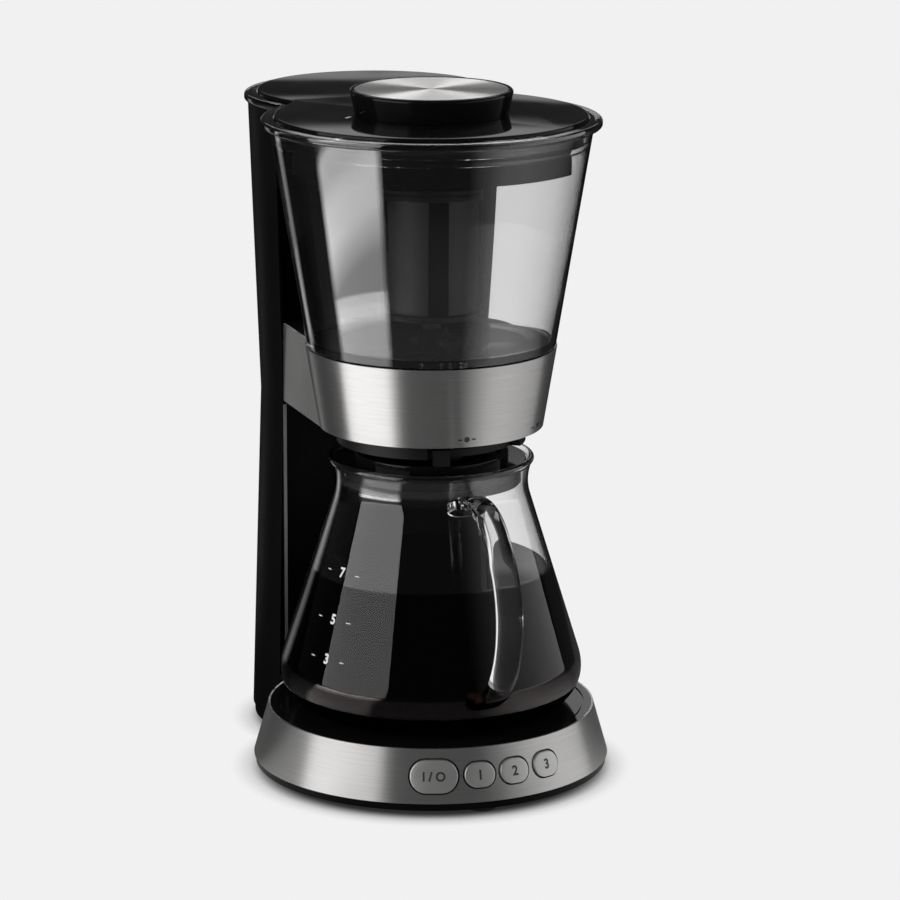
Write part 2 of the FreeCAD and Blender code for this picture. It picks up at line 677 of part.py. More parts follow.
# -------------------------------------------------------------------- base
def column_solid(name, inset, low, high):
    """The column's round body as one solid, its outer faces moved in by inset."""
    foot = S.column_foot_radius - inset
    waist = S.column_waist_radius - inset
    top = S.column_top_radius - inset
    lower = cone(name + "_lower", foot, waist, plinth_top, seam_height, 0, column_y)
    upper = cone(name + "_upper", waist, top, seam_height, column_top, 0, column_y)
    whole = fuse(name + "_stack", lower, upper)
    slab = box(name + "_slab", -as_length(LONG), LONG, -as_length(LONG), LONG, low, high)
    return common(name, whole, slab)


def foot(name, x, y):
    edge = S.foot_edge
    outline = [(0, 0), (S.foot_radius - edge, 0), Arc(S.foot_radius, edge, edge, 1),
               (S.foot_radius, S.foot_height), (0, S.foot_height)]
    return turned(name, outline, x, y)


def make_base():
    pan_radius = S.base_radius - S.pan_inset
    disc = cylinder("pan_disc", pan_radius, pan_low, pan_top)
    tail = cylinder("pan_tail", S.column_foot_radius - S.pan_inset, pan_low, pan_top, 0, column_y)
    step = cylinder("pan_step", S.column_foot_radius - S.pan_inset, pan_top, plinth_top, 0, column_y)
    hollow = cylinder("pan_step_face", S.base_radius, pan_top, plinth_top + BEYOND)
    step = cut("pan_step_cut", step, hollow)
    head_holes = []
    for index, (x, y) in enumerate(post_places()):
        head = cylinder(f"pan_head_hole_{index}", S.screw_head_radius + S.screw_head_gap,
                        pan_low - BEYOND, screw_seat, x, y)
        shank = cylinder(f"pan_shank_hole_{index}", S.screw_radius + S.screw_shank_gap, pan_low,
                         pan_top + BEYOND, x, y)
        head_holes += [head, shank]
    node(cut("base_pan", fuse("pan_plate", disc, tail, step), fuse("pan_holes", *head_holes)))

    foot_circle = S.base_radius - S.foot_inset
    side = S.side_foot_angle
    centres = [(ZERO, -foot_circle)]
    for angle in (side, -side):
        centres.append((foot_circle * sine(angle), -foot_circle * cosine(angle)))
    rear = S.rear_foot_angle
    rear_circle = S.column_foot_radius - S.pan_inset - S.foot_radius - S.rear_foot_inset
    for angle in (rear, -rear):
        centres.append((rear_circle * sine(angle), column_y + rear_circle * cosine(angle)))
    node(group("base_feet", [foot(f"foot_{i}", x, y) for i, (x, y) in enumerate(centres)]))

    screws = []
    for index, (x, y) in enumerate(post_places()):
        head = cylinder(f"base_screw_head_{index}", S.screw_head_radius, screw_seat - S.screw_head_height,
                        screw_seat, x, y)
        shank = cylinder(f"base_screw_shank_{index}", S.screw_radius, screw_seat,
                         screw_seat + S.screw_length, x, y)
        screws.append(fuse(f"base_screw_{index}", head, shank))
    node(group("base_screws", screws))

    outer = cone("band_outer", S.base_radius, band_top_radius, pan_top, S.base_top)
    inner = cone("band_inner", S.base_radius - S.trim_wall, band_top_radius - S.trim_wall,
                 pan_top, S.base_top)
    slots = [through_band(f"band_slot_{name}", width, tall, S.button_shadow_gap, angle)
             for name, width, tall, angle in buttons()]
    column = column_solid("band_column", ZERO, plinth_top, S.base_top + BEYOND)
    plinth = cylinder("band_plinth", S.column_foot_radius, pan_top - BEYOND, plinth_top, 0, column_y)
    node(cut("base_trim_band", outer, inner, fuse("band_slots", *slots), column, plinth))

    make_tray()


def post_places():
    """Screw posts under the tray: two in front, beside the buttons, and two behind."""
    places_of_posts = []
    for degrees in (45, 135, -135, -60):
        angle = as_length(degrees)
        places_of_posts.append((S.post_circle * sine(angle), -S.post_circle * cosine(angle)))
    return places_of_posts


def make_tray():
    """The tray plate with its screw posts, and the skirt that it stands on behind the trim band."""
    wall = S.trim_wall
    outline = [
        (0, tray_low),
        (band_radius(tray_low) - wall, tray_low),
        (band_top_radius - wall, S.base_top),
        (tray_groove_radius + S.tray_groove_width, S.base_top),
        (tray_groove_radius + S.tray_groove_width, S.base_top - S.tray_groove_depth),
        (tray_groove_radius, S.base_top - S.tray_groove_depth),
        (tray_groove_radius, S.base_top),
        (0, S.base_top),
    ]
    moulding = turned("tray_moulding", outline)
    back = cylinder("tray_back", S.base_radius - S.contact_gap, tray_low, S.base_top)
    column = column_solid("tray_column", ZERO, plinth_top, S.base_top + BEYOND)
    bridge = common("tray_bridge", back, column)
    posts = []
    bores = []
    for index, (x, y) in enumerate(post_places()):
        posts.append(cylinder(f"tray_post_{index}", S.post_radius, pan_top, tray_low, x, y))
        bores.append(cylinder(f"tray_post_bore_{index}", S.screw_radius, pan_top - BEYOND,
                              screw_seat + S.screw_length, x, y))
    node(cut("base_tray", fuse("tray_whole", moulding, bridge, *posts), fuse("tray_bores", *bores)))

    skirt = turned("skirt_ring", [
        (band_radius(pan_top) + skirt_inside, pan_top),
        (band_radius(pan_top) - wall, pan_top),
        (band_radius(tray_low) - wall, tray_low),
        (band_radius(tray_low) + skirt_inside, tray_low),
    ])
    holes = [through_band(f"skirt_hole_{name}", width, tall, S.button_guide_gap, angle)
             for name, width, tall, angle in buttons()]
    foot_column = column_solid("skirt_column", ZERO, plinth_top, tray_low + BEYOND)
    foot_plinth = cylinder("skirt_plinth", S.column_foot_radius, pan_top - BEYOND, plinth_top, 0, column_y)
    beyond_face = cylinder("skirt_face", S.base_radius - S.contact_gap, pan_top - BEYOND, S.base_top)
    column_gap = cut("skirt_column_gap", fuse("skirt_column_foot", foot_column, foot_plinth), beyond_face)
    node(cut("base_skirt", skirt, fuse("skirt_holes", *holes), column_gap))


# ----------------------------------------------------------------- buttons
def button_angle(distance):
    """Angle from the front of a place that lies at this distance along the trim band."""
    return distance / band_radius(button_z) * (180 / math.pi)


def buttons():
    """Name, width, height and angle of each button."""
    return [
        ("brew", S.brew_width, S.brew_tall, button_angle(S.brew_place)),
        ("mild", S.strength_width, S.strength_tall, button_angle(S.mild_place)),
        ("medium", S.strength_width, S.strength_tall, button_angle(S.medium_place)),
        ("bold", S.strength_width, S.strength_tall, button_angle(S.bold_place)),
    ]


def obround(name, width, tall, near, far, angle=None):
    """A rod with two round ends, from near to far in front of the brew axis, at the buttons' height."""
    radius = tall / 2
    half = width / 2 - radius
    middle = box(name + "_middle", -half, half, -as_length(far), -as_length(near), button_z - radius,
                 button_z + radius)
    left = front_rod(name + "_left", radius, near, far, -half, button_z)
    right = front_rod(name + "_right", radius, near, far, half, button_z)
    rod = fuse(name, middle, left, right)
    if angle is not None:
        place(rod, turn=angle)
    return rod


def through_band(name, width, tall, grow, angle=None):
    """An obround that grows by a gap on each side and runs out through the trim band."""
    return obround(name, width + 2 * grow, tall + 2 * grow, S.base_radius / 2,
                   S.base_radius + WELL_BEYOND, angle)


def cone_between(name, shift_out, shift_in):
    """A ring between two cones that follow the trim band, shifted out and in."""
    low = pan_top
    high = S.base_top
    outer = cone(name + "_outer", band_radius(low) + shift_out, band_radius(high) + shift_out, low, high)
    inner = cone(name + "_inner", band_radius(low) + shift_in, band_radius(high) + shift_in, low, high)
    return cut(name, outer, inner)


def make_buttons():
    for name, width, tall, angle in buttons():
        face_rod = through_band(f"{name}_face_rod", width, tall, ZERO)
        face_ring = cone_between(f"{name}_face_ring", S.button_proud,
                                 skirt_inside - S.button_guide_gap - S.button_flange_thickness)
        face = common(f"{name}_face", face_rod, face_ring)
        keeper_rod = through_band(f"{name}_keeper_rod", width, tall, S.button_flange)
        keeper_ring = cone_between(f"{name}_keeper_ring", skirt_inside - S.button_guide_gap,
                                   skirt_inside - S.button_guide_gap - S.button_flange_thickness)
        keeper = common(f"{name}_keeper", keeper_rod, keeper_ring)
        stem_end = switch_plane / cosine(angle)
        stem_far = band_radius(button_z) + skirt_inside - S.button_guide_gap
        stem = front_rod(f"{name}_stem", S.stem_radius, stem_end, stem_far, 0, button_z)
        stem_trim = front_rod(f"{name}_stem_far", S.stem_radius + BEYOND, stem_far - BEYOND / 2,
                              stem_far + BEYOND, 0, button_z)
        stem = cut(f"{name}_stem_trim", stem, stem_trim)
        button = fuse(f"{name}_button", face, keeper, stem)
        place(button, turn=angle)
        node(button)

    inner = carrier_radius - S.carrier_wall
    wall = ring("carrier_wall_ring", carrier_radius, inner, pan_top, tray_low)
    span = box("carrier_span_box", -S.carrier_span, S.carrier_span, -carrier_radius, -board_front,
               pan_top, tray_low)
    arch = common("carrier_arch", wall, span)
    lug_low = pan_top + S.board_edge_gap
    lug_high = tray_low - S.board_edge_gap
    lugs = []
    lug = S.carrier_lug_thickness
    inset = lug / 2
    for side, x in (("left", -S.carrier_span + inset), ("right", S.carrier_span - inset - lug)):
        lugs.append(box(f"carrier_lug_{side}", x, x + lug, -switch_plane + inset, -board_front, lug_low,
                        lug_high))
    holes = []
    for name, width, tall, angle in buttons():
        hole = front_rod(f"carrier_hole_{name}", S.stem_radius + S.button_guide_gap,
                         switch_plane - WELL_BEYOND, carrier_radius + WELL_BEYOND, 0, button_z)
        turned_hole = group(f"carrier_hole_{name}_turned", [hole])
        holes.append(place(turned_hole, turn=angle))
    node(cut("button_carrier", fuse("carrier_body", arch, *lugs), *holes))

    board = box("control_board_plate", -S.carrier_span, S.carrier_span, -board_front,
                -board_front + S.board_thickness, lug_low, lug_high)
    node(group("control_board", [board]))
    switches = []
    half = S.switch_size / 2
    for name, width, tall, angle in buttons():
        x = switch_plane * tangent(angle)
        near = board_front + S.switch_body_depth
        body = box(f"switch_body_{name}", x - half, x + half, -near, -board_front, button_z - half,
                   button_z + half)
        plunger = front_rod(f"switch_plunger_{name}", half / 2, near, near + S.switch_plunger_depth, x,
                            button_z)
        switches.append(fuse(f"switch_{name}", body, plunger))
    node(group("tact_switches", switches))


# ------------------------------------------------------------------ column
def make_column():
    face = S.base_radius
    wall = S.column_wall
    outer = column_solid("lower_outer", ZERO, plinth_top, seam_height)
    inner = column_solid("lower_inner", wall, plinth_top, seam_height)
    hollow = cylinder("lower_face", face, pan_top, seam_height + BEYOND)
    reach = column_y + S.column_foot_radius
    gland_hole = front_rod("gland_hole", S.gland_neck_radius, -(reach + WELL_BEYOND), -column_y, 0,
                           S.gland_height)
    node(cut("column_lower_shell", outer, inner, hollow, gland_hole))

    panel_ring = ring("panel_ring", face + wall, face, plinth_top, seam_height)
    panel_fill = column_solid("panel_fill", wall, plinth_top, seam_height)
    node(common("column_front_panel", panel_ring, panel_fill))

    outer = column_solid("upper_outer", ZERO, seam_height, column_top)
    inner = column_solid("upper_inner", wall, seam_height - BEYOND, column_top + BEYOND)
    behind = cylinder("upper_inner_face", face + wall, seam_height - BEYOND, column_top + BEYOND)
    hollow = cylinder("upper_face", face, seam_height - BEYOND, column_top + BEYOND)
    half = S.drive_pulley_radius + S.pulley_flange_rise + S.belt_window_gap
    window_low = pulley_low - S.belt_window_gap
    window = box("belt_window", -half, half, face / 2, face + wall + BEYOND, window_low,
                 window_low + S.belt_window_height)
    node(cut("column_upper_shell", outer, cut("upper_cavity", inner, behind), hollow, window))

    plate = column_solid("top_plate_disc", wall + S.plate_gap, column_top - S.top_plate_thickness, column_top)
    behind = cylinder("top_plate_face", face + wall, column_top - LONG, column_top + BEYOND)
    node(cut("column_top_plate", plate, behind))

    near = -(reach + S.gland_proud)
    far = -(reach - S.gland_depth)
    flange = front_rod("gland_flange", S.gland_radius, near, -(reach - S.gland_depth / 2), 0, S.gland_height)
    shell = column_solid("gland_shell", ZERO, plinth_top, seam_height)
    neck = front_rod("gland_neck", S.gland_neck_radius, near, far, 0, S.gland_height)
    bore = front_rod("gland_bore", S.gland_bore_radius, near - BEYOND, far + BEYOND, 0, S.gland_height)
    node(cut("cord_gland", fuse("gland_body", cut("gland_flange_cut", flange, shell), neck), bore))
    make_power_board()


def make_power_board():
    half = S.power_board_width / 2
    front = column_y + S.power_board_setback
    back = front + S.power_board_depth
    low = plinth_top + S.standoff_height
    parts = [box("power_plate", -half, half, front, back, low, low + S.board_thickness)]
    inset = S.standoff_radius + S.standoff_inset
    for index, (x, y) in enumerate(((-half + inset, front + inset), (half - inset, front + inset),
                                    (-half + inset, back - inset), (half - inset, back - inset))):
        parts.append(cylinder(f"power_standoff_{index}", S.standoff_radius, plinth_top, low, x, y))
    top = low + S.board_thickness
    x0 = -half + S.part_inset
    y0 = front + (S.power_board_depth - S.transformer_depth) / 2
    parts.append(box("transformer", x0, x0 + S.transformer_width, y0, y0 + S.transformer_depth, top,
                     top + S.transformer_height))
    for index in range(2):
        x = half - S.part_inset - S.capacitor_radius - S.capacitor_pitch * index
        parts.append(cylinder(f"capacitor_{index}", S.capacitor_radius, top, top + S.capacitor_height, x,
                              front + S.power_board_depth / 2))
    node(group("power_board", parts))


# --------------------------------------------------------------------- arm
def arm_solid(name, inset, low, high):
    """The arm's outside as one solid: the round front and the flat sides back to the column."""
    round_front = cone(name + "_front", arm_radius(low) - inset, arm_radius(high) - inset, low, high)
    half = S.arm_half_width - inset
    sides = box(name + "_sides", -half, half, 0, S.base_radius, low, high)
    limit = cylinder(name + "_limit", S.base_radius - ROUGH_FIT, low, high)
    return common(name, fuse(name + "_both", round_front, sides), limit)


def make_arm():
    outer = arm_solid("arm_band_outer", ZERO, arm_foot, arm_top)
    inner = arm_solid("arm_band_inner", S.trim_wall, arm_foot, arm_top)
    hind = box("arm_band_hind", -S.arm_half_width + S.trim_wall, S.arm_half_width - S.trim_wall,
               S.base_radius / 2, S.base_radius + BEYOND, arm_foot - BEYOND, arm_top + BEYOND)
    node(cut("arm_trim_band", outer, inner, hind))

    plate_top = arm_foot + S.arm_plate
    deck_low = arm_top - S.arm_plate
    body = arm_solid("arm_frame_outer", S.trim_wall + ROUGH_FIT, arm_foot, arm_top)
    cavity = arm_solid("arm_frame_inner", S.trim_wall + S.arm_wall, plate_top, deck_low)
    back_half = S.arm_half_width - S.trim_wall - S.arm_wall
    back = box("arm_frame_back", -back_half, back_half, S.base_radius / 2, S.base_radius + BEYOND,
               plate_top, deck_low)
    cup_low = cup_floor - S.cup_floor_thickness
    shell = cut("arm_frame_shell", body, cavity, back)
    cup = cylinder("cup_outer", S.cup_radius + S.cup_wall, cup_low, arm_top)
    bearing_boss = cylinder("cup_boss", S.bearing_radius + S.boss_skin, cup_floor - S.bearing_height, cup_low)
    foot_boss = cylinder("foot_boss", S.bearing_radius + S.boss_skin, arm_foot, arm_foot + S.bearing_height)
    spout_boss = cylinder("spout_boss", S.spout_radius + S.boss_skin, arm_foot, cup_low, 0, -S.drain_offset)
    whole = fuse("arm_frame_whole", shell, cup, bearing_boss, foot_boss, spout_boss)
    holes = fuse(
        "arm_frame_holes",
        cylinder("cup_hole", S.cup_radius, cup_floor, arm_top + BEYOND),
        cylinder("upper_bearing_hole", S.bearing_radius, cup_floor - S.bearing_height, cup_floor + BEYOND),
        cylinder("lower_bearing_hole", S.bearing_radius, arm_foot - BEYOND,
                 arm_foot + S.bearing_height + BEYOND),
        cylinder("spout_hole", S.spout_radius, arm_foot - BEYOND, cup_floor + BEYOND, 0, -S.drain_offset),
        pin_hole("arm_pin_hole"),
    )
    node(cut("arm_frame", whole, holes))
    make_boss()

    tube = turned("drain_spout", [
        (S.spout_bore, spout_tip),
        (S.spout_radius - S.spout_taper, spout_tip),
        (S.spout_radius, spout_tip + S.spout_taper_height),
        (S.spout_radius, cup_floor),
        (S.spout_bore, cup_floor),
    ], 0, -S.drain_offset)
    node(tube)


def pin_hole(name):
    return cylinder(name, S.pin_radius + S.pin_gap, boss_low, cup_floor + BEYOND, 0, -lever_middle_radius)


def make_boss():
    """The round cover under the arm: an upper part with the lever's groove, and a lower plate."""
    split = ring_low - S.lever_gap
    groove_top = ramp_top + S.lever_gap
    disc = cylinder("boss_disc", boss_radius, split, arm_foot)
    groove = ring("boss_groove", lever_outer_radius + S.lever_gap, lever_inner_radius - S.lever_gap,
                  split - BEYOND, groove_top)
    window = sector("boss_window", boss_radius + BEYOND, lever_inner_radius + S.lever_tab_inset - S.lever_gap,
                    split - BEYOND, groove_top, window_from, window_to)
    spout = cylinder("boss_spout_hole", S.spout_radius, split - BEYOND, arm_foot + BEYOND, 0,
                     -S.drain_offset)
    hub = cylinder("boss_hub_hollow", S.bearing_radius + 2 * S.boss_skin, split - BEYOND,
                   arm_foot - S.boss_skin)
    node(cut("arm_under_cover", disc, groove, window, spout, hub, pin_hole("boss_pin_hole")))

    plate = cylinder("retainer_disc", boss_radius, boss_low, split)
    notch = sector("retainer_window", boss_radius + BEYOND, lever_outer_radius - S.retainer_lip,
                   boss_low - BEYOND, split + BEYOND, window_from, window_to)
    hole = cylinder("retainer_spout_hole", S.spout_radius, boss_low - BEYOND, split + BEYOND, 0,
                    -S.drain_offset)
    node(cut("lever_retainer", plate, notch, hole))


def sector(name, outer, inner, low, high, start, stop):
    """Part of a ring, from start to stop in degrees from the front, towards +x."""
    whole = doc.addObject("Part::Cylinder", name + "_wedge")
    bind(whole, Radius=outer, Height=high - low, Angle=stop - start)
    place(whole, 0, 0, low, turn=start - 90)
    bore = cylinder(name + "_bore", inner, low - BEYOND, high + BEYOND)
    return cut(name, whole, bore)


def make_lever():
    """Ring with a finger tab, and a ramp that lifts the push pin as the lever swings."""
    lever_ring = ring("lever_ring", lever_outer_radius, lever_inner_radius, ring_low, ring_top)
    half = S.lever_tab_width / 2
    arm = box("lever_tab_arm", -half, half, -lever_tab_reach, -(lever_inner_radius + S.lever_tab_inset),
              ring_low, ring_top)
    grip = box("lever_tab_grip", -half, half, -lever_tab_reach, -(boss_radius + S.lever_tab_gap),
               ring_low - S.lever_tab_drop, ring_top + S.lever_tab_lift)
    tab = fuse("lever_tab", arm, grip)
    place(tab, turn=S.lever_rest_angle)
    block = sector("lever_ramp_block", lever_outer_radius, lever_inner_radius, ring_top - RAMP_ROOT,
                   ramp_top, -S.lever_swing - S.ramp_spare, ZERO)
    node(fuse("drain_lever", lever_ring, tab, common("lever_ramp", block, ramp_wedge())))

    pin_low = ring_top + S.contact_gap
    pin = cylinder("push_pin_rod", S.pin_radius, pin_low, ear_low - S.contact_gap, 0, -lever_middle_radius)
    head = cylinder("push_pin_head", S.pin_head_radius, pin_head_low, pin_head_low + S.pin_head_height, 0,
                    -lever_middle_radius)
    node(fuse("drain_push_pin", pin, head))


def ramp_wedge():
    """A wedge along the chord of the lever's swing: its height grows by the drain lift."""
    wedge = doc.addObject("Part::Wedge", "lever_ramp_wedge")
    chord = 2 * lever_middle_radius * sine(S.lever_swing / 2)
    length = chord + RAMP_OVERRUN
    start = RAMP_ROOT - S.drain_lift * S.pin_radius / chord
    half = RAMP_HALF_WIDTH
    bind(wedge, Xmin=-half, Xmax=half, X2min=-half, X2max=half, Ymin=0, Ymax=length, Zmin=0, Z2min=0,
         Zmax=start, Z2max=start + S.drain_lift * length / chord)
    heading = 90 - S.lever_swing / 2
    return place(wedge, 0, -lever_middle_radius, ring_top - RAMP_ROOT, turn=heading)


# ------------------------------------------------------------------- drive
def pulley_outline(groove, bore, low):
    flange = groove + S.pulley_flange_rise
    thick = S.pulley_flange_thickness
    first = low + thick
    second = first + S.belt_width + 2 * S.belt_side_gap
    return [(bore, low), (flange, low), (flange, first), (groove, first), (groove, second),
            (flange, second), (flange, second + thick), (bore, second + thick)]


def make_drive():
    node(turned("drive_pulley", pulley_outline(S.drive_pulley_radius, S.shaft_radius, pulley_low)))
    shaft_low = arm_foot + S.contact_gap
    dog_low = drive_dog_low
    node(turned("drive_shaft", [(0, shaft_low), (S.shaft_radius, shaft_low), (S.shaft_radius, dog_low),
                                (0, dog_low)]))
    inner = S.shaft_radius + S.running_gap
    node(ring("upper_bearing", S.bearing_radius, inner, cup_floor - S.bearing_height, cup_floor))
    node(ring("lower_bearing", S.bearing_radius, inner, arm_foot, arm_foot + S.bearing_height))
    plate_top = dog_low + S.dog_plate
    plate = cylinder("drive_dog_plate", S.dog_radius, dog_low, plate_top)
    lugs = dog_lugs("drive_dog_lug", plate_top, plate_top + S.dog_lug_height, 0)
    node(fuse("drive_dog", plate, *lugs))

    low = pulley_low
    shaft = S.motor_shaft_radius
    shaft_low = motor_face + S.contact_gap
    outline = pulley_outline(S.motor_pulley_radius, ZERO, low)
    outline = [(0, shaft_low), (shaft, shaft_low), (shaft, low)] + outline[1:]
    node(turned("motor_pulley", outline, 0, motor_y))
    boss_top = motor_face + S.motor_boss_height
    can = cylinder("motor_can", S.motor_radius, motor_face - S.motor_height, motor_face, 0, motor_y)
    boss = cylinder("motor_boss", S.motor_boss_radius, motor_face, boss_top, 0, motor_y)
    bore = cylinder("motor_bore", shaft + S.motor_shaft_gap, motor_face, boss_top + BEYOND, 0, motor_y)
    screw_holes = [cylinder(f"motor_screw_hole_{i}", S.screw_radius, motor_face - S.motor_screw_depth,
                            motor_face + BEYOND, S.motor_screw_circle * side, motor_y)
                   for i, side in enumerate((-1, 1))]
    node(cut("drive_motor", fuse("motor_solid", can, boss), bore, fuse("motor_screw_holes", *screw_holes)))

    bracket_top = motor_face + S.bracket_thickness
    disc = column_solid("bracket_disc", S.column_wall + S.plate_gap, motor_face, bracket_top)
    front = cylinder("bracket_front", S.base_radius + S.column_wall, motor_face - BEYOND,
                     bracket_top + BEYOND)
    boss_hole = cylinder("bracket_boss_hole", S.motor_boss_radius, motor_face - BEYOND,
                         bracket_top + BEYOND, 0, motor_y)
    screw_holes = [cylinder(f"bracket_screw_hole_{i}", S.screw_radius, motor_face - BEYOND,
                            bracket_top + BEYOND, S.motor_screw_circle * side, motor_y)
                   for i, side in enumerate((-1, 1))]
    node(cut("motor_bracket", disc, front, boss_hole, fuse("bracket_screw_holes", *screw_holes)))
    screws = []
    for i, side in enumerate((-1, 1)):
        x = S.motor_screw_circle * side
        head = cylinder(f"motor_screw_head_{i}", S.screw_head_radius, bracket_top,
                        bracket_top + S.screw_head_height, x, motor_y)
        shank = cylinder(f"motor_screw_shank_{i}", S.screw_radius, motor_face - S.motor_screw_depth,
                         bracket_top, x, motor_y)
        screws.append(fuse(f"motor_screw_{i}", head, shank))
    node(group("motor_screws", screws))
    make_belt()


def dog_lugs(name, low, high, turn):
    """Two lugs across a coupling half, along x or (turned) along y."""
    half = S.dog_lug_width / 2
    lugs = []
    for i, side in enumerate((-1, 1)):
        centre = (S.dog_radius - S.dog_lug_width) * side
        if turn == 0:
            lugs.append(box(f"{name}_{i}", centre - half, centre + half, -half, half, low, high))
        else:
            lugs.append(box(f"{name}_{i}", -half, half, centre - half, centre + half, low, high))
    return lugs


def make_belt():
    """An open loop round both pulleys: two round ends and two straight runs."""
    low = pulley_low + S.pulley_flange_thickness + S.belt_side_gap
    high = low + S.belt_width
    distance = motor_y

    def loop(name, grow, low, high):
        big = S.drive_pulley_radius + S.belt_gap + grow
        small = S.motor_pulley_radius + S.belt_gap + grow
        lean = (big - small) / distance
        upright = root(1 - lean * lean)
        near_x = big * upright
        near_y = big * lean
        far_x = small * upright
        far_y = distance + small * lean
        web = doc.addObject("Part::Wedge", name + "_web")
        bind(web, Xmin=-near_x, Xmax=near_x, X2min=-far_x, X2max=far_x, Ymin=0, Ymax=far_y - near_y,
             Zmin=0, Z2min=0, Zmax=high - low, Z2max=high - low)
        place(web, 0, near_y, low)
        first = cylinder(name + "_first", big, low, high)
        last = cylinder(name + "_last", small, low, high, 0, distance)
        return fuse(name, web, first, last)

    outer = loop("belt_outer", S.belt_thickness, low, high)
    inner = loop("belt_inner", ZERO, low - BEYOND, high + BEYOND)
    node(cut("drive_belt", outer, inner))


# ----------------------------------------------------------------- chamber
def keyhole(name, brew_radius, column_radius, low, high):
    """A plate of two joined discs: one about the brew axis, one about the column axis."""
    return fuse(name, cylinder(name + "_brew", brew_radius, low, high),
                cylinder(name + "_column", column_radius, low, high, 0, column_y))


def make_chamber():
    wall = S.chamber_wall
    bore = S.shaft_radius + S.bush_wall
    hub_top = chamber_floor + S.hub_height
    outline = [
        (bore, chamber_low - S.hub_drop),
        (S.hub_low_radius, chamber_low - S.hub_drop),
        (S.hub_low_radius, chamber_low),
        (plug_radius - S.plug_wall, chamber_low),
        (plug_radius - S.plug_wall, plug_foot),
        (plug_radius, plug_foot),
        (plug_radius, chamber_low),
        (chamber_radius(chamber_low), chamber_low),
        (S.chamber_neck_radius, flange_low),
        (S.chamber_neck_radius, flange_low + BEYOND),
        (S.chamber_neck_radius - wall, flange_low + BEYOND),
        (S.chamber_neck_radius - wall, flange_low),
        (chamber_radius(chamber_floor) - wall, chamber_floor),
        (S.hub_foot_radius, chamber_floor),
        (S.hub_top_radius, hub_top),
        (bore, hub_top),
    ]
    vessel = turned("chamber_vessel", outline)
    flange = keyhole("flange_plate", flange_radius, flange_column_radius, flange_low, flange_top)
    recess = keyhole("flange_recess", flange_radius - S.flange_rim, flange_column_radius - S.flange_rim,
                     flange_low + S.flange_floor, flange_top + BEYOND)
    mouth = cylinder("flange_mouth", S.chamber_neck_radius - wall, flange_low - BEYOND,
                     flange_top + BEYOND)
    clear_flange = cut("chamber_flange", flange, recess, mouth)
    outlet_tip = ear_low + S.valve_ear_thickness + S.drain_lift + S.contact_gap
    outlet = cylinder("outlet_tube", S.outlet_radius, outlet_tip, chamber_low, 0, -S.drain_offset)
    outlet_bore = cylinder("outlet_hole", S.outlet_bore, outlet_tip - BEYOND, chamber_floor + BEYOND, 0,
                           -S.drain_offset)
    seal_groove = plug_seal_ring("plug_groove", plug_radius + BEYOND)
    node(cut("mixing_chamber", fuse("chamber_whole", vessel, clear_flange, outlet), outlet_bore, seal_groove))
    node(plug_seal_ring("chamber_seal", plug_radius + S.plug_seal_proud))
    bush_low = chamber_low - S.hub_drop
    node(ring("spindle_bush", bore, S.shaft_radius + S.running_gap, bush_low, hub_top))
    make_valve()


def plug_seal_ring(name, outer):
    low = plug_foot + S.plug_seal_rise
    return ring(name, outer, plug_radius - S.plug_seal_depth, low, low + S.plug_seal_width)


def make_valve():
    y = -S.drain_offset
    seat = chamber_floor + S.contact_gap
    head_low = seat + S.seal_thickness
    head_high = head_low + S.valve_head_height
    stem = S.valve_stem_radius
    node(turned("valve_seal", [(stem, seat), (S.valve_radius, seat), (S.valve_radius, head_low),
                               (stem, head_low)], 0, y))
    ear_high = ear_low + S.valve_ear_thickness
    plunger = turned("valve_plunger", [(0, ear_low), (stem, ear_low), (stem, head_low),
                                       (S.valve_radius, head_low), (S.valve_radius, head_high),
                                       (0, head_high)], 0, y)
    half = S.valve_ear_width / 2
    ear_reach = lever_middle_radius + S.pin_radius + S.valve_ear_spare
    ear = box("valve_ear", -half, half, -ear_reach, y, ear_low, ear_high)
    node(fuse("drain_valve", plunger, ear))

    top = chamber_floor + S.cage_height
    wall = S.cage_wall
    edge = S.cage_edge
    outline = [
        (S.cage_radius - wall, chamber_floor),
        (S.cage_radius, chamber_floor),
        (S.cage_radius, top - edge),
        Arc(S.cage_radius - edge, top, edge, 1),
        (0, top),
        (0, top - wall),
        (S.cage_radius - wall, top - wall),
    ]
    dome = turned("cage_dome", outline, 0, y)
    windows = []
    half = S.cage_slot_width / 2
    reach = S.cage_radius + BEYOND
    for i in range(CAGE_SLOTS):
        window = box(f"cage_window_{i}", -half, half, -reach, reach, chamber_floor - BEYOND,
                     chamber_floor + S.cage_slot_height)
        step = as_length(HALF_TURN / CAGE_SLOTS * i)
        windows.append(place(group(f"cage_window_{i}_turned", [window]), 0, y, 0, turn=step))
    node(cut("valve_cage", dome, *windows))


